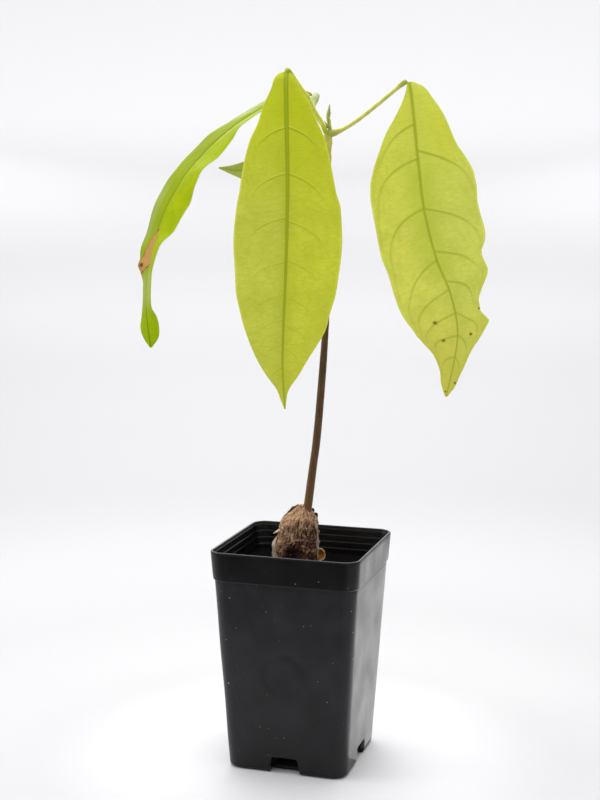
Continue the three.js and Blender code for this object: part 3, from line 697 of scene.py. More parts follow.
def makeLeafMaterial(name, look, length, patch=None):
    material, tree = startMaterial(name)
    layers = [addNode(tree, "Attribute", {"attribute_name": layer}, "Fac") for layer in leafLayers]
    alongLeaf, acrossLeaf, phase, gap, bladeWay = layers
    place = addNode(tree, "CombineXYZ", {"X": alongLeaf, "Y": acrossLeaf})
    away = addNode(tree, "Math", {"operation": "ABSOLUTE", 0: acrossLeaf})
    out = addNode(tree, "Math", {"operation": "ABSOLUTE", 0: bladeWay})
    # Distance in mm from the nearest side vein
    turn = addNode(tree, "Math", {"operation": "ADD", 0: phase, 1: 0.5})
    turn = addNode(tree, "Math", {"operation": "FRACT", 0: turn})
    turn = addNode(tree, "Math", {"operation": "SUBTRACT", 0: turn, 1: 0.5})
    apart = addNode(tree, "Math", {"operation": "MULTIPLY", 0: turn, 1: gap})
    # Clouds of 15 mm and 4 mm, greener near the midrib and towards the tip
    large = addNode(tree, "TexNoise", {"Vector": place, "Scale": 1 / 15, "Detail": 3.0})
    small = addNode(tree, "TexNoise", {"Vector": place, "Scale": 1 / 4, "Detail": 3.0})
    layers = [
        # The two halves differ in colour: partly the blade's own tone, partly painted light, as each half
        # faces the light its own way
        (acrossLeaf, -2, 2, 1, look["right"]),
        (large, 0.4, 0.75, look["clouds"], look["shade"]),
        (small, 0.42, 0.8, look["clouds"] * 0.8, look["shade"]),
        (away, 7, 1, look["nearRib"], look["shade"]),
        (alongLeaf, 0.6 * length, length, 0.55, look["tip"]),
        (alongLeaf, 0.45 * length, 0.12 * length, 0.85, look["foot"]),
    ]
    color = layShades(tree, look["left"], layers)
    way = addNode(tree, "Math", {"operation": "DIVIDE", 0: alongLeaf, 1: length})
    for start, end, inner, outer, strength, shade in look["strips"]:
        # Soft edged strip: starts and ends along the leaf and across it
        share = strength
        for value, limits, soft in ((way, (start, end), 0.025), (bladeWay, (inner, outer), 0.12)):
            for limit, step in zip(limits, (soft, -soft)):
                edge = {"Value": value, "From Min": limit - step, "From Max": limit + step}
                edge = addNode(tree, "MapRange", edge)
                share = addNode(tree, "Math", {"operation": "MULTIPLY", 0: edge, 1: share})
        color = addNode(tree, "Mix", {"data_type": "RGBA", 0: share, 6: color, 7: shade}, 2)
    # Cross veins like the rungs of a ladder between the side veins, 1.5 to 3 mm apart, and a finer net
    bend = addNode(tree, "TexNoise", {"Vector": place, "Scale": 0.16, "Detail": 2.0}, "Color")
    bent = addNode(tree, "VectorMath", {"operation": "MULTIPLY_ADD", 0: bend, 1: (3.5, 3.5, 0), 2: place})
    nets = []
    for stretch, width, strength in (((2.3, 8.0, 1), 0.11, 0.9), ((1.0, 1.4, 1), 0.2, 0.45)):
        cells = addNode(tree, "VectorMath", {"operation": "DIVIDE", 0: bent, 1: stretch})
        cells = addNode(tree, "TexVoronoi", {"feature": "DISTANCE_TO_EDGE", "Vector": cells, "Scale": 1.0})
        net = {"Value": cells, "From Min": width, "From Max": 0.0, "To Max": strength * look["net"]}
        nets.append(addNode(tree, "MapRange", net))
    net = addNode(tree, "Math", {"operation": "MAXIMUM", 0: nets[0], 1: nets[1]})
    color = addNode(tree, "Mix", {"data_type": "RGBA", 0: net, 6: color, 7: look["network"]}, 2)
    # Side veins: a painted highlight along the ridge and painted shade on its side towards the tip, fading
    # out before the margin; where both colours are darker than the blade, as on the right leaf, they are
    # the veins' own tint
    fading = {"interpolation_type": "SMOOTHSTEP", "Value": out, "From Max": 0.35}
    fading = addNode(tree, "MapRange", {**fading, "From Min": look["veinEnd"]})
    lower = {"Value": alongLeaf, "From Max": 0.62 * length, "To Min": 1.0, "To Max": look["lowVeins"]}
    lower = addNode(tree, "MapRange", lower)
    fading = addNode(tree, "Math", {"operation": "MULTIPLY", 0: fading, 1: lower})
    for middle, half, strength, key in ((0.4, 0.75, 0.8, "veinEdgeTintAndShade"), (-0.15, 0.5, 0.9, "veinRidgeTintAndHighlight")):
        line = addNode(tree, "Math", {"operation": "SUBTRACT", 0: apart, 1: middle})
        line = addNode(tree, "Math", {"operation": "ABSOLUTE", 0: line})
        line = {"interpolation_type": "SMOOTHSTEP", "Value": line, "From Min": half, "To Max": strength}
        line = addNode(tree, "MapRange", {**line, "From Max": half * 0.25})
        line = addNode(tree, "Math", {"operation": "MULTIPLY", 0: line, 1: fading})
        color = addNode(tree, "Mix", {"data_type": "RGBA", 0: line, 6: color, 7: look[key]}, 2)
    # Pale thin margin
    color = layShades(tree, color, [(out, 0.955, 0.99, 0.55, look["margin"])])
    # Midrib: two darker lines with a lighter middle, narrower towards the tip
    ribHalf = {"Value": alongLeaf, "From Max": length, "To Min": look["ribHalf"], "To Max": 0.3}
    ribWay = addNode(tree, "Math", {"operation": "DIVIDE", 0: away, 1: addNode(tree, "MapRange", ribHalf)})
    layers = [(ribWay, start, end, strength, look[key]) for start, end, strength, key in look["ribLines"]]
    color = layShades(tree, color, layers, "SMOOTHSTEP")
    rough = addNode(tree, "TexNoise", {"Vector": place, "Scale": 0.9, "Detail": 3.0})
    for t, reach, radius in look["spots"]:
        spot = {"operation": "DISTANCE", 0: place, 1: (t * length, reach, 0)}
        spot = addNode(tree, "VectorMath", spot, "Value")
        spot = addNode(tree, "Math", {"operation": "MULTIPLY_ADD", 0: rough, 1: radius * 1.6, 2: spot})
        layers = [(spot, radius * start, radius * end, 1, shade) for start, end, shade in deadSpot]
        color = layShades(tree, color, layers)
    if patch:
        color = paintPatch(tree, color, patch, alongLeaf, bladeWay, place, rough, length)
    relief = addNode(tree, "Math", {"operation": "MULTIPLY", 0: net, 1: -1.0})
    bump = addNode(tree, "Bump", {"Strength": 0.3, "Distance": 0.1 * mm, "Height": relief})
    surface = {"Base Color": color, "Normal": bump, "Roughness": 0.46, "IOR": 1.42}
    surface = addNode(tree, "BsdfPrincipled", {**surface, "Specular IOR Level": look["sheen"]})
    through = addNode(tree, "BsdfTranslucent", {"Color": color})
    mixed = addNode(tree, "MixShader", {0: 0.45, 1: surface, 2: through})
    addNode(tree, "OutputMaterial", {"Surface": mixed}, None)
    return material


for node, shape in leafShapes.items():
    side = node.split("_")[1]
    length = walkRoute(shape["rib"])[1]
    patch = leafPatch if side == "left" else None
    leafMaterial = makeLeafMaterial(f"youngLeafBlade{side.title()}", leafLooks[node], length, patch)
    growLeaf(node, f"leafBlade{side.title()}", shape, leafMaterial)
    print("stage: leaf", side, "grown")


# Stem and leaf stalks
stemShape = {
    "route": [
        (-4.5, -1.4, 104.3), (-0.6, -0.8, 128), (2.7, -0.2, 152), (5.7, 0.2, 176), (8.4, 0.6, 199),
        (12.4, 1.5, 255), (14.1, 1.1, 300), (14.2, 0.4, 340), (13.8, 0.1, 373),
    ],
    "radii": [
        [0, 4], [0.05, 3], [0.12, 2.85], [0.2, 2.55], [0.35, 2.3], [0.5, 2.15], [0.58, 1.9], [0.85, 1.7],
        [0.95, 1.65], [0.98, 2.35], [1, 1.9],
    ],
    "sides": 28,
    "rows": 260,
    "fibre": 0.09,
    # Way up the stem and height of each leaf scar, and half its width in mm
    "scars": [(0.945, 0.25), (0.975, 0.2), (0.62, 0.12), (0.78, 0.12)],
    "scarWidth": 0.9,
}
# What all stalks share, in mm; a bulge between the swellings: where, how long and how high
stalkShape = {
    "radius": 1.25,
    "sides": 22,
    "rows": 120,
    "groove": 0.08,
    "wrinkle": 0.07,
    "endRound": 1.1,
    "bulge": (0, 1, 0),
}
# Each stalk: its route, the radii of the swellings at its foot and top, and the share of its length that
# each swelling takes
stalkShapes = {
    "petiole_right": {
        "route": [
            (13.9, 0.1, 371), (17.9, 2.3, 372.4), (23.1, 4.9, 375), (31.6, 8.5, 381.1),
            (43.6, 12.1, 391.2), (53.3, 15.1, 399.6), (56.4, 15.7, 401.2),
        ],
        "swells": (2.1, 1.6),
        "reach": (0.2, 0.16),
    },
    "petiole_front": {
        "route": [
            (13.8, 0.1, 370.6), (12.1, -1.6, 373.9), (11.1, -5, 378), (9.8, -9.1, 381.4),
            (8.9, -13, 384.5), (8.3, -18.4, 388), (7.9, -22.6, 390.4), (6, -27.2, 393.3),
            (2.8, -31.5, 399.6), (0.8, -34.4, 403.4), (0.6, -36.6, 404),
        ],
        "swells": (1.5, 1.7),
        "reach": (0.16, 0.6),
        "bulge": (0.68, 0.11, 0.45),
    },
    "petiole_left": {
        "route": [
            (13.8, 0.3, 371), (7.5, 8.5, 377.4), (1.1, 17, 384.2), (-1.7, 23.5, 389.6),
            (-1.9, 29.4, 395.9),
        ],
        "swells": (1.55, 2.4),
        "reach": (0.16, 0.27),
    },
    "petiole_back": {
        "route": [
            (13.8, 0.2, 369.5), (10.5, 4.6, 369.6), (4.2, 11.6, 369), (-1.9, 18.8, 367.6),
        ],
        "swells": (1.5, 1.5),
        "reach": (0.16, 0.16),
    },
}


def makeStem(settings, material):
    def radiusAt(t, angle, length):
        # Fine fibres along the bark, and rings where leaves have been
        out = Vector((math.cos(angle), math.sin(angle), 0))
        fibre = noise.noise(Vector((out.x * 3.2, out.y * 3.2, t * length / 22)))
        fine = noise.noise(Vector((out.x * 7, out.y * 7, t * length / 4)))
        radius = along(settings["radii"], t)
        radius += settings["fibre"] * fibre + 0.4 * settings["fibre"] * fine
        for place, height in settings["scars"]:
            radius += height * math.exp(-(((t - place) * length / settings["scarWidth"]) ** 2))
        return radius

    bm = bmesh.new()
    loftTube(bm, settings, radiusAt)
    return finishPiece("stemBark", bm, material, ["stem"])


def makeStalk(node, name, shape, material):
    def radiusAt(t, angle, length):
        radius, swollen = shape["radius"], 0
        for end, way in ((0, t), (1, 1 - t)):
            swell = max(0, 1 - way / shape["reach"][end])
            ease = min(1, swell * swell * (3 - 2 * swell) * 1.4)
            radius += (shape["swells"][end] - shape["radius"]) * ease
            swollen = max(swollen, ease)
        place, width, height = shape["bulge"]
        radius += height * math.exp(-(((t - place) / width) ** 2))
        radius -= shape["groove"] * (1 - swollen) * max(0, math.sin(angle)) ** 6
        wrinkle = noise.noise(Vector((t * length / 0.7, math.cos(angle) * 1.4, math.sin(angle) * 1.4)))
        radius += shape["wrinkle"] * (0.3 + swollen) * wrinkle
        return radius * min(1, math.sqrt((1 - t) * length / shape["endRound"] + 0.05))

    bm = bmesh.new()
    loftTube(bm, shape, radiusAt, Vector((0, 0, 1)), bm.verts.layers.float.new("stalkWay"))
    return finishPiece(name, bm, material, [node])


def makeStemMaterial():
    # Smooth young bark, brown below and green towards the tip: fine lengthwise streaks and pale pores
    material, tree = startMaterial("youngCacaoBark")
    place = placeInMm(tree)
    streaked = addNode(tree, "Mapping", {"Vector": place, "Scale": (1, 1, 1 / 14)})
    height = addNode(tree, "SeparateXYZ", {0: place}, "Z")
    streaks = addNode(tree, "TexNoise", {"Vector": streaked, "Scale": 1.1, "Detail": 4.0})
    blotches = addNode(tree, "TexNoise", {"Vector": place, "Scale": 1 / 9, "Detail": 3.0})
    top = addNode(tree, "Math", {"operation": "MULTIPLY_ADD", 0: blotches, 1: 30.0, 2: height})
    layers = [
        (streaks, 0.35, 0.68, 1, "#613F10"),
        (blotches, 0.45, 0.7, 0.5, "#46300E"),
        (height, 210, 150, 0.45, "#7A5520"),
        # Tan between bark and green, from about 40 mm under the tip
        (top, 318, 352, 1, "#AF9245"),
        (top, 352, 378, 1, "#C9C164"),
        (top, 382, 388, 1, "#8E9C1C"),
    ]
    color = layShades(tree, "#3A2505", layers)
    pores = addNode(tree, "Mapping", {"Vector": place, "Scale": (1, 1, 1 / 1.7)})
    pores = addNode(tree, "TexVoronoi", {"Vector": pores, "Scale": 1 / 3.2}, "Distance")
    pores = addNode(tree, "MapRange", {"Value": pores, "From Min": 0.11, "From Max": 0.05, "To Max": 0.5})
    color = addNode(tree, "Mix", {"data_type": "RGBA", 0: pores, 6: color, 7: "#8A7348"}, 2)
    relief = addNode(tree, "Math", {"operation": "ADD", 0: streaks, 1: pores})
    finishMaterial(tree, color, relief, 0.5, 0.15, {"Roughness": 0.45, "Specular IOR Level": 0.38})
    return material


def makeStalkMaterial(name, light, dark, ends):
    # Soft green stalk, softly waxy, lit through at its edges; duller and browner at the swellings
    material, tree = startMaterial(name)
    way = addNode(tree, "Attribute", {"attribute_name": "stalkWay"}, "Fac")
    cloud = addNode(tree, "TexNoise", {"Vector": placeInMm(tree), "Scale": 0.5, "Detail": 4.0})
    layers = [(cloud, 0.35, 0.65, 1, dark), (way, 0.16, 0.05, 0.75, ends), (way, 0.86, 0.94, 0.75, ends)]
    surface = {"Roughness": 0.48, "IOR": 1.42, "Subsurface Weight": 0.25, "Subsurface Scale": 1.2 * mm}
    finishMaterial(tree, layShades(tree, light, layers), cloud, 0.3, 0.1, surface)
    return material


makeStem(stemShape, makeStemMaterial())
# Lighter, darker and end colours of each stalk
stalkLooks = {
    "petiole_right": ("#DCDA86", "#C0C455", "#98A02C"),
    "petiole_front": ("#E0E052", "#C6CD3C", "#98A628"),
    "petiole_left": ("#B5BF78", "#A0AA62", "#BFC7A2"),
    "petiole_back": ("#DCDA86", "#C0C455", "#A4A944"),
}
for node, shape in stalkShapes.items():
    side = node.split("_")[1].title()
    stalkMaterial = makeStalkMaterial(f"paleGreenStalk{side}", *stalkLooks[node])
    makeStalk(node, f"leafStalk{side}", {**stalkShape, **shape}, stalkMaterial)

# Bud at the stem's tip: a narrow folded leaf bud between two small stipules
budShape = {
    "route": [
        (14.4, 0.3, 371), (14.9, 0.4, 374), (14.4, 0.2, 377), (13.8, 0, 380), (14.2, 0.1, 383.5),
        (14.6, 0.2, 388),
    ],
    "radii": [
        [0, 1.6], [0.15, 1.3], [0.3, 1.05], [0.42, 1.0], [0.58, 1.25], [0.7, 1.28], [0.84, 0.75],
        [1, 0.1],
    ],
    "sides": 20,
    "rows": 60,
    # Foot, tip and width
    "stipules": [((14, 0, 374.6), (11.7, -0.5, 378.6), 1.7), ((14.8, 1, 373.6), (14.6, 1.5, 379.6), 1.2)],
}


def makeBud(settings, material):
    def radiusAt(t, angle, length):
        # Two flat sides, slightly uneven
        uneven = 0.05 * noise.noise(Vector((angle, t * 9, 0)))
        return along(settings["radii"], t) * (1 - 0.18 * max(0, math.cos(2 * angle)) + uneven)

    bm = bmesh.new()
    wayLayer = bm.verts.layers.float.new("stalkWay")
    loftTube(bm, settings, radiusAt, Vector((0, 1, 0)), wayLayer)
    for foot, tip, width in settings["stipules"]:
        for vert in addScale(bm, Vector(foot), Vector(tip), width, 0.35, (0.8, 0.6), 12):
            # Clear of both ends, whose colour is duller
            vert[wayLayer] = 0.3
    bmesh.ops.recalc_face_normals(bm, faces=bm.faces)
    return finishPiece("leafBud", bm, material, ["bud"])


makeBud(budShape, makeStalkMaterial("oliveBudScales", "#B5BA55", "#8F9438", "#8A8148"))
print("stage: stem, stalks and bud made")


# Seed husk round the stem's foot: height above the soil, half width and sideways shift of each ring.
# Angles run from the photo's right towards the back. Shells are thin left-over pieces of the outer skin:
# they span angles and heights, lose the share named narrow of their width towards the top, stand off the
# body by lift, and curl out at the edges named.
huskShape = {
    "base": 104.3,
    "rings": [
        [0, 12.4, -4.6], [8, 14, -4.6], [18, 13.1, -3.9], [25, 13.1, -4.1], [31.5, 11.6, -2.8],
        [35, 11, -2.6], [38.5, 10.4, -2.4], [42, 9.1, -1.7], [45, 6, -0.9], [47.5, 3.6, -0.3],
        [49.5, 2.4, 0],
    ],
    "sides": 300,
    "rows": 210,
    "hollow": {"place": (-2.7, -17.7, 18.5), "radius": 7.6, "depth": 6, "shade": 2.6},
    "split": {"width": 1.9, "depth": 0.55},
    "fibre": 0.42,
    "lump": 0.8,
    "pit": 0.7,
    "shells": [
        {"angles": (155, 238), "heights": (1, 30), "lift": 0.85, "curl": {"end": 0.3}, "narrow": 0.45},
        {"angles": (-29, 62), "heights": (17, 42), "lift": 0.5, "curl": {"start": 0.4, "high": 0.4}},
        {"angles": (70, 178), "heights": (40.5, 48), "lift": 0.8, "curl": {"rise": 2.7}, "shade": -0.3},
    ],
    # Places of the flap and the crumbs are to the right, to the back and above the soil
    "flap": {"ends": ((-13.8, -1, 34.2), (-18.2, -2, 32.2)), "width": 2.7},
    "shellThickness": 0.45,
    "curl": {
        "right": 9.1,
        "back": -2.5,
        "height": 19.6,
        "depth": 3.4,
        "near": 3.5,
        "far": 0.5,
        "turn": (-165, 130),
    },
    # Right, back, height and radius
    "crumbs": [
        (6.4, 3.5, 41.5, 1.4), (6.3, 2.5, 42.4, 1.2), (5.6, 3.6, 45.2, 1.2), (7.2, 1.0, 42.4, 1.6),
    ],
}


def huskSpot(settings, angle, z, lift=0.0):
    # Middle, direction outwards and distance from the middle of a point on the smooth, lumpy husk
    half, shift = along(settings["rings"], z), along(settings["rings"], z, 2)
    out = viewRight * math.cos(angle) + viewBack * math.sin(angle)
    lump = math.sin(3 * angle + 0.09 * z + 2) + 0.8 * math.cos(5 * angle - 0.16 * z)
    lump += 0.5 * math.sin(8 * angle + z)
    return viewRight * shift + Vector((0, 0, z)), out, half * (1 + 0.025 * lump) + lift


def huskRelief(settings, angle, z, half):
    # Height in mm of the fibres, lumps and pits over the smooth husk; the fibres run up to the stem and are
    # the stronger the nearer to it
    out = Vector((math.cos(angle), math.sin(angle), 0))
    spot = out * half + Vector((0, 0, z))
    sway = 0.5 * noise.noise(spot / 6)
    strings = abs(noise.noise(Vector((out.x * 8 + sway, out.y * 8 + sway, z / 6))))
    threads = abs(noise.noise(Vector((out.x * 19 + sway, out.y * 19, z / 4))))
    lumps, pits = noise.noise(spot / 3.2), noise.noise(spot / 1.25)
    high = min(1, max(0, (z - 28) / 12))
    relief = (1 - 3.2 * strings) + 0.5 * (1 - 3.2 * threads)
    relief *= settings["fibre"] * (1 + 1.1 * high)
    return relief + (1 - 0.6 * high) * (settings["lump"] * lumps + settings["pit"] * pits)


def huskPlace(settings, right, back, height):
    return viewRight * right + viewBack * back + Vector((0, 0, settings["base"] + height))


def makeHusk(settings, material):
    sides, rows = settings["sides"], settings["rows"]
    height, hollow, split = settings["rings"][-1][0], settings["hollow"], settings["split"]
    bm = bmesh.new()
    reliefLayer = bm.verts.layers.float.new("coatRelief")
    reliefs = {}

    def placeAt(row, i):
        z = height * math.sin(row / rows * math.pi / 2)
        angle = 2 * math.pi * i / sides
        centre, out, radius = huskSpot(settings, angle, z)
        relief = huskRelief(settings, angle, z, radius) * min(1, radius / 6)
        radius += relief
        sunk = (centre + out * radius - Vector(hollow["place"])).length / hollow["radius"]
        radius -= hollow["depth"] * math.exp(-(sunk**4))
        beside = abs(out.dot(viewRight)) * radius
        if out.dot(viewBack) > 0:
            radius *= 1 - split["depth"] * math.exp(-((beside / split["width"]) ** 4))
        # The hollow takes the colour of a valley: painted shade in the recess
        reliefs[(row, i)] = relief - hollow["shade"] * math.exp(-(sunk**4))
        return centre + out * radius + Vector((0, 0, settings["base"]))

    for row, ring in enumerate(loftRings(bm, range(rows + 1), sides, placeAt)):
        for i, vert in enumerate(ring):
            vert[reliefLayer] = reliefs[(row, i)]
    return finishPiece("seedHuskBody", bm, material, ["seed_husk"])


def makeShells(settings, material):
    bm = bmesh.new()
    reliefLayer = bm.verts.layers.float.new("coatRelief")
    for number, shell in enumerate(settings["shells"]):
        made = bmesh.ops.create_grid(bm, x_segments=44, y_segments=30, size=1)["verts"]
        curl = shell["curl"]
        for vert in made:
            vert[reliefLayer] = shell.get("shade", 0)
            u, w = (vert.co.x + 1) / 2, (vert.co.y + 1) / 2
            # Ragged outline
            start, end = [a + 9 * noise.noise(Vector((w * 4, number, a))) for a in shell["angles"]]
            low, high = [h + 3 * noise.noise(Vector((u * 5, number, h))) for h in shell["heights"]]
            end -= (end - start) * shell.get("narrow", 0) * w
            angle, z = math.radians(start + (end - start) * u), low + (high - low) * w
            lift = shell["lift"] + 0.5 * noise.noise(Vector((u * 6, w * 4, number)))
            lift += curl.get("start", 0) * (1 - u) ** 6 + curl.get("end", 0) * u**6
            lift += curl.get("rise", 0) * w + curl.get("high", 0) * w**6
            centre, out, radius = huskSpot(settings, angle, z, lift)
            vert.co = centre + out * radius + Vector((0, 0, settings["base"]))
    bmesh.ops.recalc_face_normals(bm, faces=bm.faces)
    bmesh.ops.solidify(bm, geom=bm.faces[:], thickness=settings["shellThickness"])
    foot, tip = [huskPlace(settings, *end) for end in settings["flap"]["ends"]]
    addScale(bm, foot, tip, settings["flap"]["width"], 0.1, (1, 0.3), 16)
    return finishPiece("seedCoatShells", bm, material)


def makeCurl(settings, material):
    # Shred of skin that curls round a line pointing at the viewer, wide and open at the near end
    curl = settings["curl"]
    bm = bmesh.new()
    reliefLayer = bm.verts.layers.float.new("coatRelief")
    made = bmesh.ops.create_grid(bm, x_segments=40, y_segments=14, size=1)["verts"]
    first, last = [math.radians(a) for a in curl["turn"]]
    for vert in made:
        u, w = (vert.co.x + 1) / 2, (vert.co.y + 1) / 2
        # The open edge is paler
        vert[reliefLayer] = 2 * (1 - w) ** 6
        angle = first + (last - first) * u
        radius = curl["near"] + (curl["far"] - curl["near"]) * w**1.5
        radius *= 1 + 0.16 * noise.noise(Vector((u * 4, w * 2, 5))) + 0.12 * math.cos(2 * angle)
        back = curl["back"] + curl["depth"] * w + 0.9 * noise.noise(Vector((u * 5, 3, 1))) * (1 - w)
        right = curl["right"] + radius * math.cos(angle)
        height = curl["height"] + 1.15 * radius * math.sin(angle)
        vert.co = huskPlace(settings, right, back, height)
    bmesh.ops.recalc_face_normals(bm, faces=bm.faces)
    bmesh.ops.solidify(bm, geom=bm.faces[:], thickness=settings["shellThickness"])
    return finishPiece("seedCoatCurl", bm, material)


def makeCrumbs(settings, material):
    bm = bmesh.new()
    for number, (right, back, height, size) in enumerate(settings["crumbs"]):
        made = bmesh.ops.create_icosphere(bm, subdivisions=3, radius=size)["verts"]
        for vert in made:
            vert.co *= 1 + 0.3 * noise.noise(vert.co * 1.1 + Vector((number * 7, 0, 0)))
            vert.co.z *= 1.35
        bmesh.ops.translate(bm, vec=huskPlace(settings, right, back, height), verts=made)
    return finishPiece("seedCoatCrumbs", bm, material)


# Colours: of the painted light, high and to the left and on the ridges; elsewhere; of the painted shade in
# the valleys; of the pale flecks
huskLooks = {
    "dryFibrousSeedCoat": ("#C79F7B", "#452614", "#2D110A", "#D0BBA8"),
    "paleSeedSkin": ("#CBB49A", "#AD9482", "#5A463A", "#DCCBB8"),
    "rustySeedSkin": ("#DDA458", "#C4873A", "#9A6020", "#E9D2A8"),
    "blackSeedCrumb": ("#2A211B", "#1C1511", "#0E0A08", "#3A2E26"),
}
# Painted light, lighter to the left and upwards: its value at the frame's origin, its growth for each mm to
# the right and upwards, and the clouds' share
huskLight = {"start": -5.22, "right": -0.034, "up": 0.0357, "clouds": 1.2}


def makeHuskMaterial(name, high, low, valley, fleck):
    # Dry dead skin: matt and fibrous with pale flecks; painted light towards the left, the top and on the
    # ridges, and painted shade in the wrinkles, the hollow and low down
    material, tree = startMaterial(name)
    place = placeInMm(tree)
    relief = addNode(tree, "Attribute", {"attribute_name": "coatRelief"}, "Fac")
    cloud = addNode(tree, "TexNoise", {"Vector": place, "Scale": 1 / 6, "Detail": 5.0})
    fine = addNode(tree, "TexNoise", {"Vector": place, "Scale": 1 / 0.8, "Detail": 5.0})
    right, up = [addNode(tree, "SeparateXYZ", {0: place}, axis) for axis in "XZ"]
    light = huskLight["start"]
    for value, key in ((right, "right"), (cloud, "clouds"), (up, "up")):
        light = {"operation": "MULTIPLY_ADD", 0: value, 1: huskLight[key], 2: light}
        light = addNode(tree, "Math", light)
    # Painted light to the left and upwards, painted shade in the valleys, painted highlight on the ridges
    layers = [
        (light, 0, 1, 1, high),
        (fine, 0.52, 0.36, 0.75, valley),
        (relief, 0.1, -0.95, 1, valley),
        (relief, 0.3, 1.1, 0.5, high),
        (relief, 1.3, 1.9, 0.8, fleck),
        (fine, 0.56, 0.72, 0.45, high),
    ]
    color = layShades(tree, low, layers)
    # Pale flecks of 0.6 mm, sown thinly
    flecks = sowSpecks(tree, place, 2.4, (0.2, 0.08), (0.45, 1))
    color = addNode(tree, "Mix", {"data_type": "RGBA", 0: flecks, 6: color, 7: fleck}, 2)
    finishMaterial(tree, color, fine, 0.9, 0.35, {"Roughness": 0.82, "IOR": 1.4})
    return material


for makePart, (name, colors) in zip((makeHusk, makeShells, makeCurl, makeCrumbs), huskLooks.items()):
    makePart(huskShape, makeHuskMaterial(name, *colors))
print("stage: seed husk made")


# Square nursery pot, 9 cm across the rim
potShape = {
    "height": 132,
    "rimHalf": 45,
    "band": 17.2,
    "bandFootHalf": 43.98,
    "wallTopHalf": 43.14,
    "footHalf": 36.27,
    "rimCorner": 8.9,
    "footCorner": 8.6,
    "footFillet": 2,
    "wall": 1.4,
    "lip": 1.6,
    "floor": 2,
    "notch": {"width": 15.6, "flare": 1.4, "height": 9.7, "reach": 7, "corner": 1.2},
    "flowMark": {"height": 60, "radius": 12, "width": 4},
    "steps": 4,
    "stepPitch": 4,
    "cornerSides": 12,
    "wallSides": 16,
    "wallRows": 40,
    "bow": 0.3,
    "rimRound": 0.8,
}
# Colours of the black plastic; low is painted shade towards the foot, band a painted dark reflection on the
# band
potLook = {
    "dark": "#19181B",
    "light": "#252428",
    "low": "#0B0B0C",
    "band": "#050506",
    "mark": "#0C0B0E",
    "dust": "#C4C2BD",
    "scratch": "#4A4A4D",
}


def squarePoint(half, corner, z, i):
    # Point i of a square ring with rounded corners, anticlockwise from the right side's lower end
    cornerSides, wallSides = potShape["cornerSides"], potShape["wallSides"]
    quarter, step = divmod(i, cornerSides + wallSides)
    flat = half - corner
    if step < wallSides:
        x, y = half, flat * (2 * step / wallSides - 1)
    else:
        angle = (step - wallSides) / cornerSides * math.pi / 2
        x, y = flat + corner * math.cos(angle), flat + corner * math.sin(angle)
    turn = quarter * math.pi / 2
    return Vector((x * math.cos(turn) - y * math.sin(turn), x * math.sin(turn) + y * math.cos(turn), z))


def outerHalf(z):
    bandFoot = potShape["height"] - potShape["band"]
    narrow, wide = potShape["footHalf"], potShape["wallTopHalf"]
    return narrow + (wide - narrow) * min(z, bandFoot) / bandFoot


def potProfile(p):
    # Rows of half width, corner radius and height: underside, outside, rim, steps inside, inner floor
    def cornerAt(z):
        return p["footCorner"] + (p["rimCorner"] - p["footCorner"]) * z / p["height"]

    bandFoot = p["height"] - p["band"]
    # The underside starts from a small square
    rows = [(8, 2, 0)]
    for degrees in range(0, 91, 15):
        angle = math.radians(degrees)
        inset, z = p["footFillet"] * (1 - math.sin(angle)), p["footFillet"] * (1 - math.cos(angle))
        rows.append((outerHalf(z) - inset, p["footCorner"] - inset * 0.5, z))
    for k in range(1, p["wallRows"] + 1):
        z = p["footFillet"] + (bandFoot - 0.6 - p["footFillet"]) * k / p["wallRows"]
        rows.append((outerHalf(z), cornerAt(z), z))
    # Fine groove under the band, then the band's rounded lower edge: half width, wider corner, height
    wallTop, bandHalf = p["wallTopHalf"], p["bandFootHalf"]
    edge = [
        (wallTop - 0.1, 0, -0.25),
        (wallTop + 0.1, 0, 0),
        (bandHalf - 0.25, 0.3, 0.05),
        (bandHalf, 0.5, 0.4),
        (bandHalf + 0.02, 0.5, 0.8),
    ]
    for half, wider, above in edge:
        rows.append((half, cornerAt(bandFoot) + wider, bandFoot + above))
    for k in range(1, 8):
        z = bandFoot + 0.4 + (p["band"] - 1.4) * k / 7
        rows.append((bandHalf + (p["rimHalf"] - bandHalf) * k / 7, p["rimCorner"], z))
    for degrees in range(20, 161, 20):
        angle = math.radians(degrees)
        inset, drop = p["rimRound"] * (1 - math.cos(angle)), p["rimRound"] * (1 - math.sin(angle))
        rows.append((p["rimHalf"] - inset, p["rimCorner"] - inset, p["height"] - drop))
    # Steps inside the rim, each with a rounded edge
    innerTop, innerCorner = p["rimHalf"] - p["lip"], p["rimCorner"] - p["lip"]
    innerFoot = wallTop - p["wall"]
    stepDepth = (innerTop - innerFoot) / p["steps"]
    for k in range(p["steps"]):
        z = p["height"] - 1 - k * p["stepPitch"]
        half = innerTop - k * stepDepth
        for inset, below in ((0, 0.4), (0.08, 0.75), (stepDepth - 0.08, 0.95), (stepDepth, 1.3)):
            rows.append((half - inset, innerCorner, z - below))
    rows.append((innerFoot, innerCorner, bandFoot))
    low, corner = outerHalf(p["floor"]) - p["wall"], p["footCorner"] - p["wall"]
    rows.append((low, corner, p["floor"] + 3))
    rows.append((low - 1.5, corner - 1, p["floor"]))
    return rows


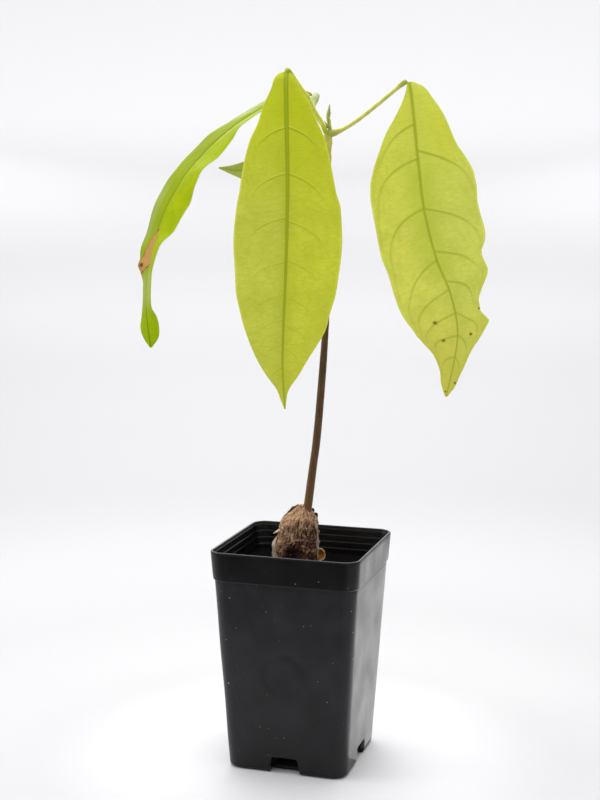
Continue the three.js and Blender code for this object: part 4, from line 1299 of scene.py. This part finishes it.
def makePot(p, material):
    bandFoot = p["height"] - p["band"]

    def placeAt(row, i):
        half, corner, z = row
        spot = squarePoint(half, corner, z, i)
        out = Vector((spot.x, spot.y, 0)).normalized()
        # Thin walls are never quite flat between the foot and the band
        low, high = 6, bandFoot - 2
        free = math.sin(math.pi * (z - low) / (high - low)) ** 0.5 if low < z < high else 0
        return spot + out * (p["bow"] * free * noise.noise(Vector((spot.x, spot.y, spot.z)) / 30))

    bm = bmesh.new()
    loftRings(bm, potProfile(p), 4 * (p["cornerSides"] + p["wallSides"]), placeAt)
    pot = finishPiece("nurseryPot", bm, material, ["pot"])
    # Notches at the foot, rounded above and flared below
    notch = p["notch"]
    bm = bmesh.new()
    for side in range(4):
        made = bmesh.ops.create_cube(bm, size=1)["verts"]
        bmesh.ops.scale(bm, vec=(notch["reach"] * 2, notch["width"], notch["height"] * 2), verts=made)
        for vert in made:
            vert.co.y *= notch["flare"] if vert.co.z < 0 else 1
        bmesh.ops.translate(bm, vec=(p["footHalf"], 0, 0), verts=made)
        bmesh.ops.rotate(bm, matrix=Matrix.Rotation(side * math.pi / 2, 3, "Z"), verts=made)
    upper = [e for e in bm.edges if min(v.co.z for v in e.verts) > 0]
    bmesh.ops.bevel(
        bm, geom=upper, offset=notch["corner"], offset_type="OFFSET", affect="EDGES",
        segments=4, profile=0.5, material=-1,
    )
    cutter = makeObject("notchCutter", bm, smooth=False)
    cut = pot.modifiers.new("notches", "BOOLEAN")
    cut.object = cutter
    cut.operation = "DIFFERENCE"
    cut.solver = "EXACT"
    evaluated = pot.evaluated_get(bpy.context.evaluated_depsgraph_get())
    mesh = bpy.data.meshes.new_from_object(evaluated)
    pot.modifiers.clear()
    pot.data = mesh
    bpy.data.objects.remove(cutter)
    return pot


def makePotMaterial(look):
    # Injection moulded polypropylene: black with a dull sheen, dust specks, rubbed marks, faint scratches
    # and, as on the real one, a soft round flow mark low on each side where the plastic was injected
    material, tree = startMaterial("blackMouldedPolypropylene")
    place = placeInMm(tree)
    cloud = addNode(tree, "TexNoise", {"Vector": place, "Scale": 1 / 22, "Detail": 4.0})
    grain = addNode(tree, "TexNoise", {"Vector": place, "Scale": 1 / 0.5, "Detail": 3.0})
    # The flow mark is a broken ring about the middle of each side
    mark = potShape["flowMark"]
    sized = addNode(tree, "VectorMath", {"operation": "ABSOLUTE", 0: place})
    beside, behind, height = [addNode(tree, "SeparateXYZ", {0: sized}, axis) for axis in "XYZ"]
    beside = addNode(tree, "Math", {"operation": "MINIMUM", 0: beside, 1: behind})
    above = addNode(tree, "Math", {"operation": "SUBTRACT", 0: height, 1: mark["height"]})
    ring = addNode(tree, "CombineXYZ", {0: beside, 1: above})
    ring = addNode(tree, "VectorMath", {"operation": "LENGTH", 0: ring}, "Value")
    ring = addNode(tree, "Math", {"operation": "SUBTRACT", 0: ring, 1: mark["radius"]})
    ring = addNode(tree, "Math", {"operation": "ABSOLUTE", 0: ring})
    blotch = addNode(tree, "TexNoise", {"Vector": place, "Scale": 1 / 9, "Detail": 4.0})
    ring = addNode(tree, "Math", {"operation": "MULTIPLY_ADD", 0: blotch, 1: 3.0 * mark["width"], 2: ring})
    bandFoot = potShape["height"] - potShape["band"]
    layers = [
        (cloud, 0.35, 0.7, 1, look["light"]),
        (ring, 2.1 * mark["width"], 0.9 * mark["width"], 0.8, look["mark"]),
        # Darker towards the foot: painted shade
        (height, 70, 10, 0.6, look["low"]),
        # The band is painted darker than the wall: a painted dark reflection, as the band mirrors the dim
        # space in front
        (height, bandFoot - 0.5, bandFoot + 0.6, 0.95, look["band"]),
    ]
    color = layShades(tree, look["dark"], layers)
    # Dust: specks of about 0.5 mm, sown thinly, and a few larger crumbs
    sown = []
    for size, width, chance in ((4.5, 0.085, 0.58), (11.0, 0.055, 0.5)):
        sown.append(sowSpecks(tree, place, size, (width, width * 0.4), (chance, chance + 0.25)))
    dust = addNode(tree, "Math", {"operation": "MAXIMUM", 0: sown[0], 1: sown[1]})
    line = addNode(tree, "Math", {"operation": "MULTIPLY", 0: dust, 1: 0.6})
    color = addNode(tree, "Mix", {"data_type": "RGBA", 0: line, 6: color, 7: look["dust"]}, 2)
    # Scratches in two directions, each a thin stretched noise
    scratches = []
    for turn, chance in (((0.3, 0.5, 0.2), 0.7), ((-0.2, -0.7, 0.1), 0.72)):
        ways = {"Vector": place, "Rotation": turn, "Scale": (1 / 0.35, 1 / 0.35, 1 / 18)}
        ways = {"Vector": addNode(tree, "Mapping", ways), "Scale": 1.0, "Detail": 1.0}
        ways = {"Value": addNode(tree, "TexNoise", ways), "From Min": chance, "From Max": chance + 0.06}
        scratches.append(addNode(tree, "MapRange", ways))
    scratches = addNode(tree, "Math", {"operation": "ADD", 0: scratches[0], 1: scratches[1]})
    patchy = addNode(tree, "MapRange", {"Value": cloud, "From Min": 0.46, "From Max": 0.6, "To Max": 0.4})
    scratches = addNode(tree, "Math", {"operation": "MULTIPLY", 0: scratches, 1: patchy})
    color = addNode(tree, "Mix", {"data_type": "RGBA", 0: scratches, 6: color, 7: look["scratch"]}, 2)
    rough = {"Value": cloud, "From Min": 0.3, "From Max": 0.7, "To Min": 0.27, "To Max": 0.4}
    rough = addNode(tree, "MapRange", rough)
    rough = addNode(tree, "Math", {"operation": "MULTIPLY_ADD", 0: dust, 1: 0.3, 2: rough})
    # A low index keeps the sides seen head-on dark, while those seen at a slant still mirror the floor
    finishMaterial(tree, color, grain, 0.15, 0.05, {"Roughness": rough, "IOR": 1.34})
    return material


makePot(potShape, makePotMaterial(potLook))
print("stage: pot made")


# Potting soil: fills the pot to 28 mm below the rim, and is nearly flat round the stem's foot
soilShape = {
    "level": 104,
    "foot": 9,
    "topGap": 0.3,
    "footGap": 0.5,
    "stemFoot": (-4.5, -1.4),
    "seat": 21,
    "seatEdge": 8,
    "bump": 1.2,
    "clod": 0.9,
    "crumb": 0.35,
    "cells": 150,
}


def soilHeight(x, y):
    away = math.dist((x, y), soilShape["stemFoot"])
    s = min(1, max(0, (away - soilShape["seat"]) / soilShape["seatEdge"]))
    rise = s * s * (3 - 2 * s)
    bump = math.sin(0.21 * x + 0.5) * math.cos(0.19 * y) + 0.5 * math.sin(0.43 * x - 0.31 * y)
    spot = Vector((x, y, 0))
    clods = noise.noise(spot / 4.2) + 0.6 * noise.noise(spot / 2.1)
    crumbs = noise.noise(spot / 0.9)
    rough = soilShape["clod"] * clods + soilShape["crumb"] * crumbs
    return soilShape["level"] + soilShape["bump"] * rise * bump + rough * (0.45 + 0.55 * rise)


def makeSoil(settings, material):
    half = outerHalf(settings["level"]) - potShape["wall"] - settings["topGap"]
    corner = potShape["footCorner"] - potShape["wall"] - settings["topGap"]
    bm = bmesh.new()
    bmesh.ops.create_grid(bm, x_segments=settings["cells"], y_segments=settings["cells"], size=1)
    # Pull the square grid's corners in to the pot's rounded ones
    for vert in bm.verts:
        x, y = vert.co.x, vert.co.y
        way = max(abs(x), abs(y))
        if way:
            spot = Vector((x, y)) / way * half
            over = Vector((max(0, abs(spot.x) - (half - corner)), max(0, abs(spot.y) - (half - corner))))
            if over.x and over.y:
                kept = over.normalized() * corner
                spot.x = math.copysign(half - corner + kept.x, spot.x)
                spot.y = math.copysign(half - corner + kept.y, spot.y)
            x, y = spot.x * way, spot.y * way
        vert.co = (x, y, soilHeight(x, y))
    rim = [e for e in bm.edges if e.is_boundary]
    made = bmesh.ops.extrude_edge_only(bm, edges=rim)["geom"]
    lower = [part for part in made if isinstance(part, bmesh.types.BMVert)]
    shrink = (outerHalf(settings["foot"]) - potShape["wall"] - settings["footGap"]) / half
    for vert in lower:
        vert.co = (vert.co.x * shrink, vert.co.y * shrink, settings["foot"])
    bmesh.ops.holes_fill(bm, edges=[e for e in bm.edges if e.is_boundary])
    bmesh.ops.recalc_face_normals(bm, faces=bm.faces)
    return finishPiece("pottingSoil", bm, material, ["soil"])


def makeSoilMaterial():
    # Moist peat and compost: nearly black brown, with rusty crumbs
    material, tree = startMaterial("moistPottingSoil")
    cell = {"Vector": placeInMm(tree), "Scale": 1 / 1.6}
    cloud = addNode(tree, "TexNoise", {**cell, "Scale": 1 / 3.5, "Detail": 6.0})
    shade = addNode(tree, "SeparateColor", {0: addNode(tree, "TexVoronoi", cell, "Color")})
    layers = [(cloud, 0.35, 0.65, 1, "#3B2A1E"), (shade, 0.7, 0.95, 0.6, "#5C4028")]
    color = layShades(tree, "#17100B", layers)
    edges = addNode(tree, "TexVoronoi", cell, "Distance")
    relief = addNode(tree, "Math", {"operation": "MULTIPLY_ADD", 0: edges, 1: -0.6, 2: cloud})
    finishMaterial(tree, color, relief, 0.9, 0.6, {"Roughness": 0.9, "IOR": 1.4})
    return material


makeSoil(soilShape, makeSoilMaterial())
print("stage: soil made")
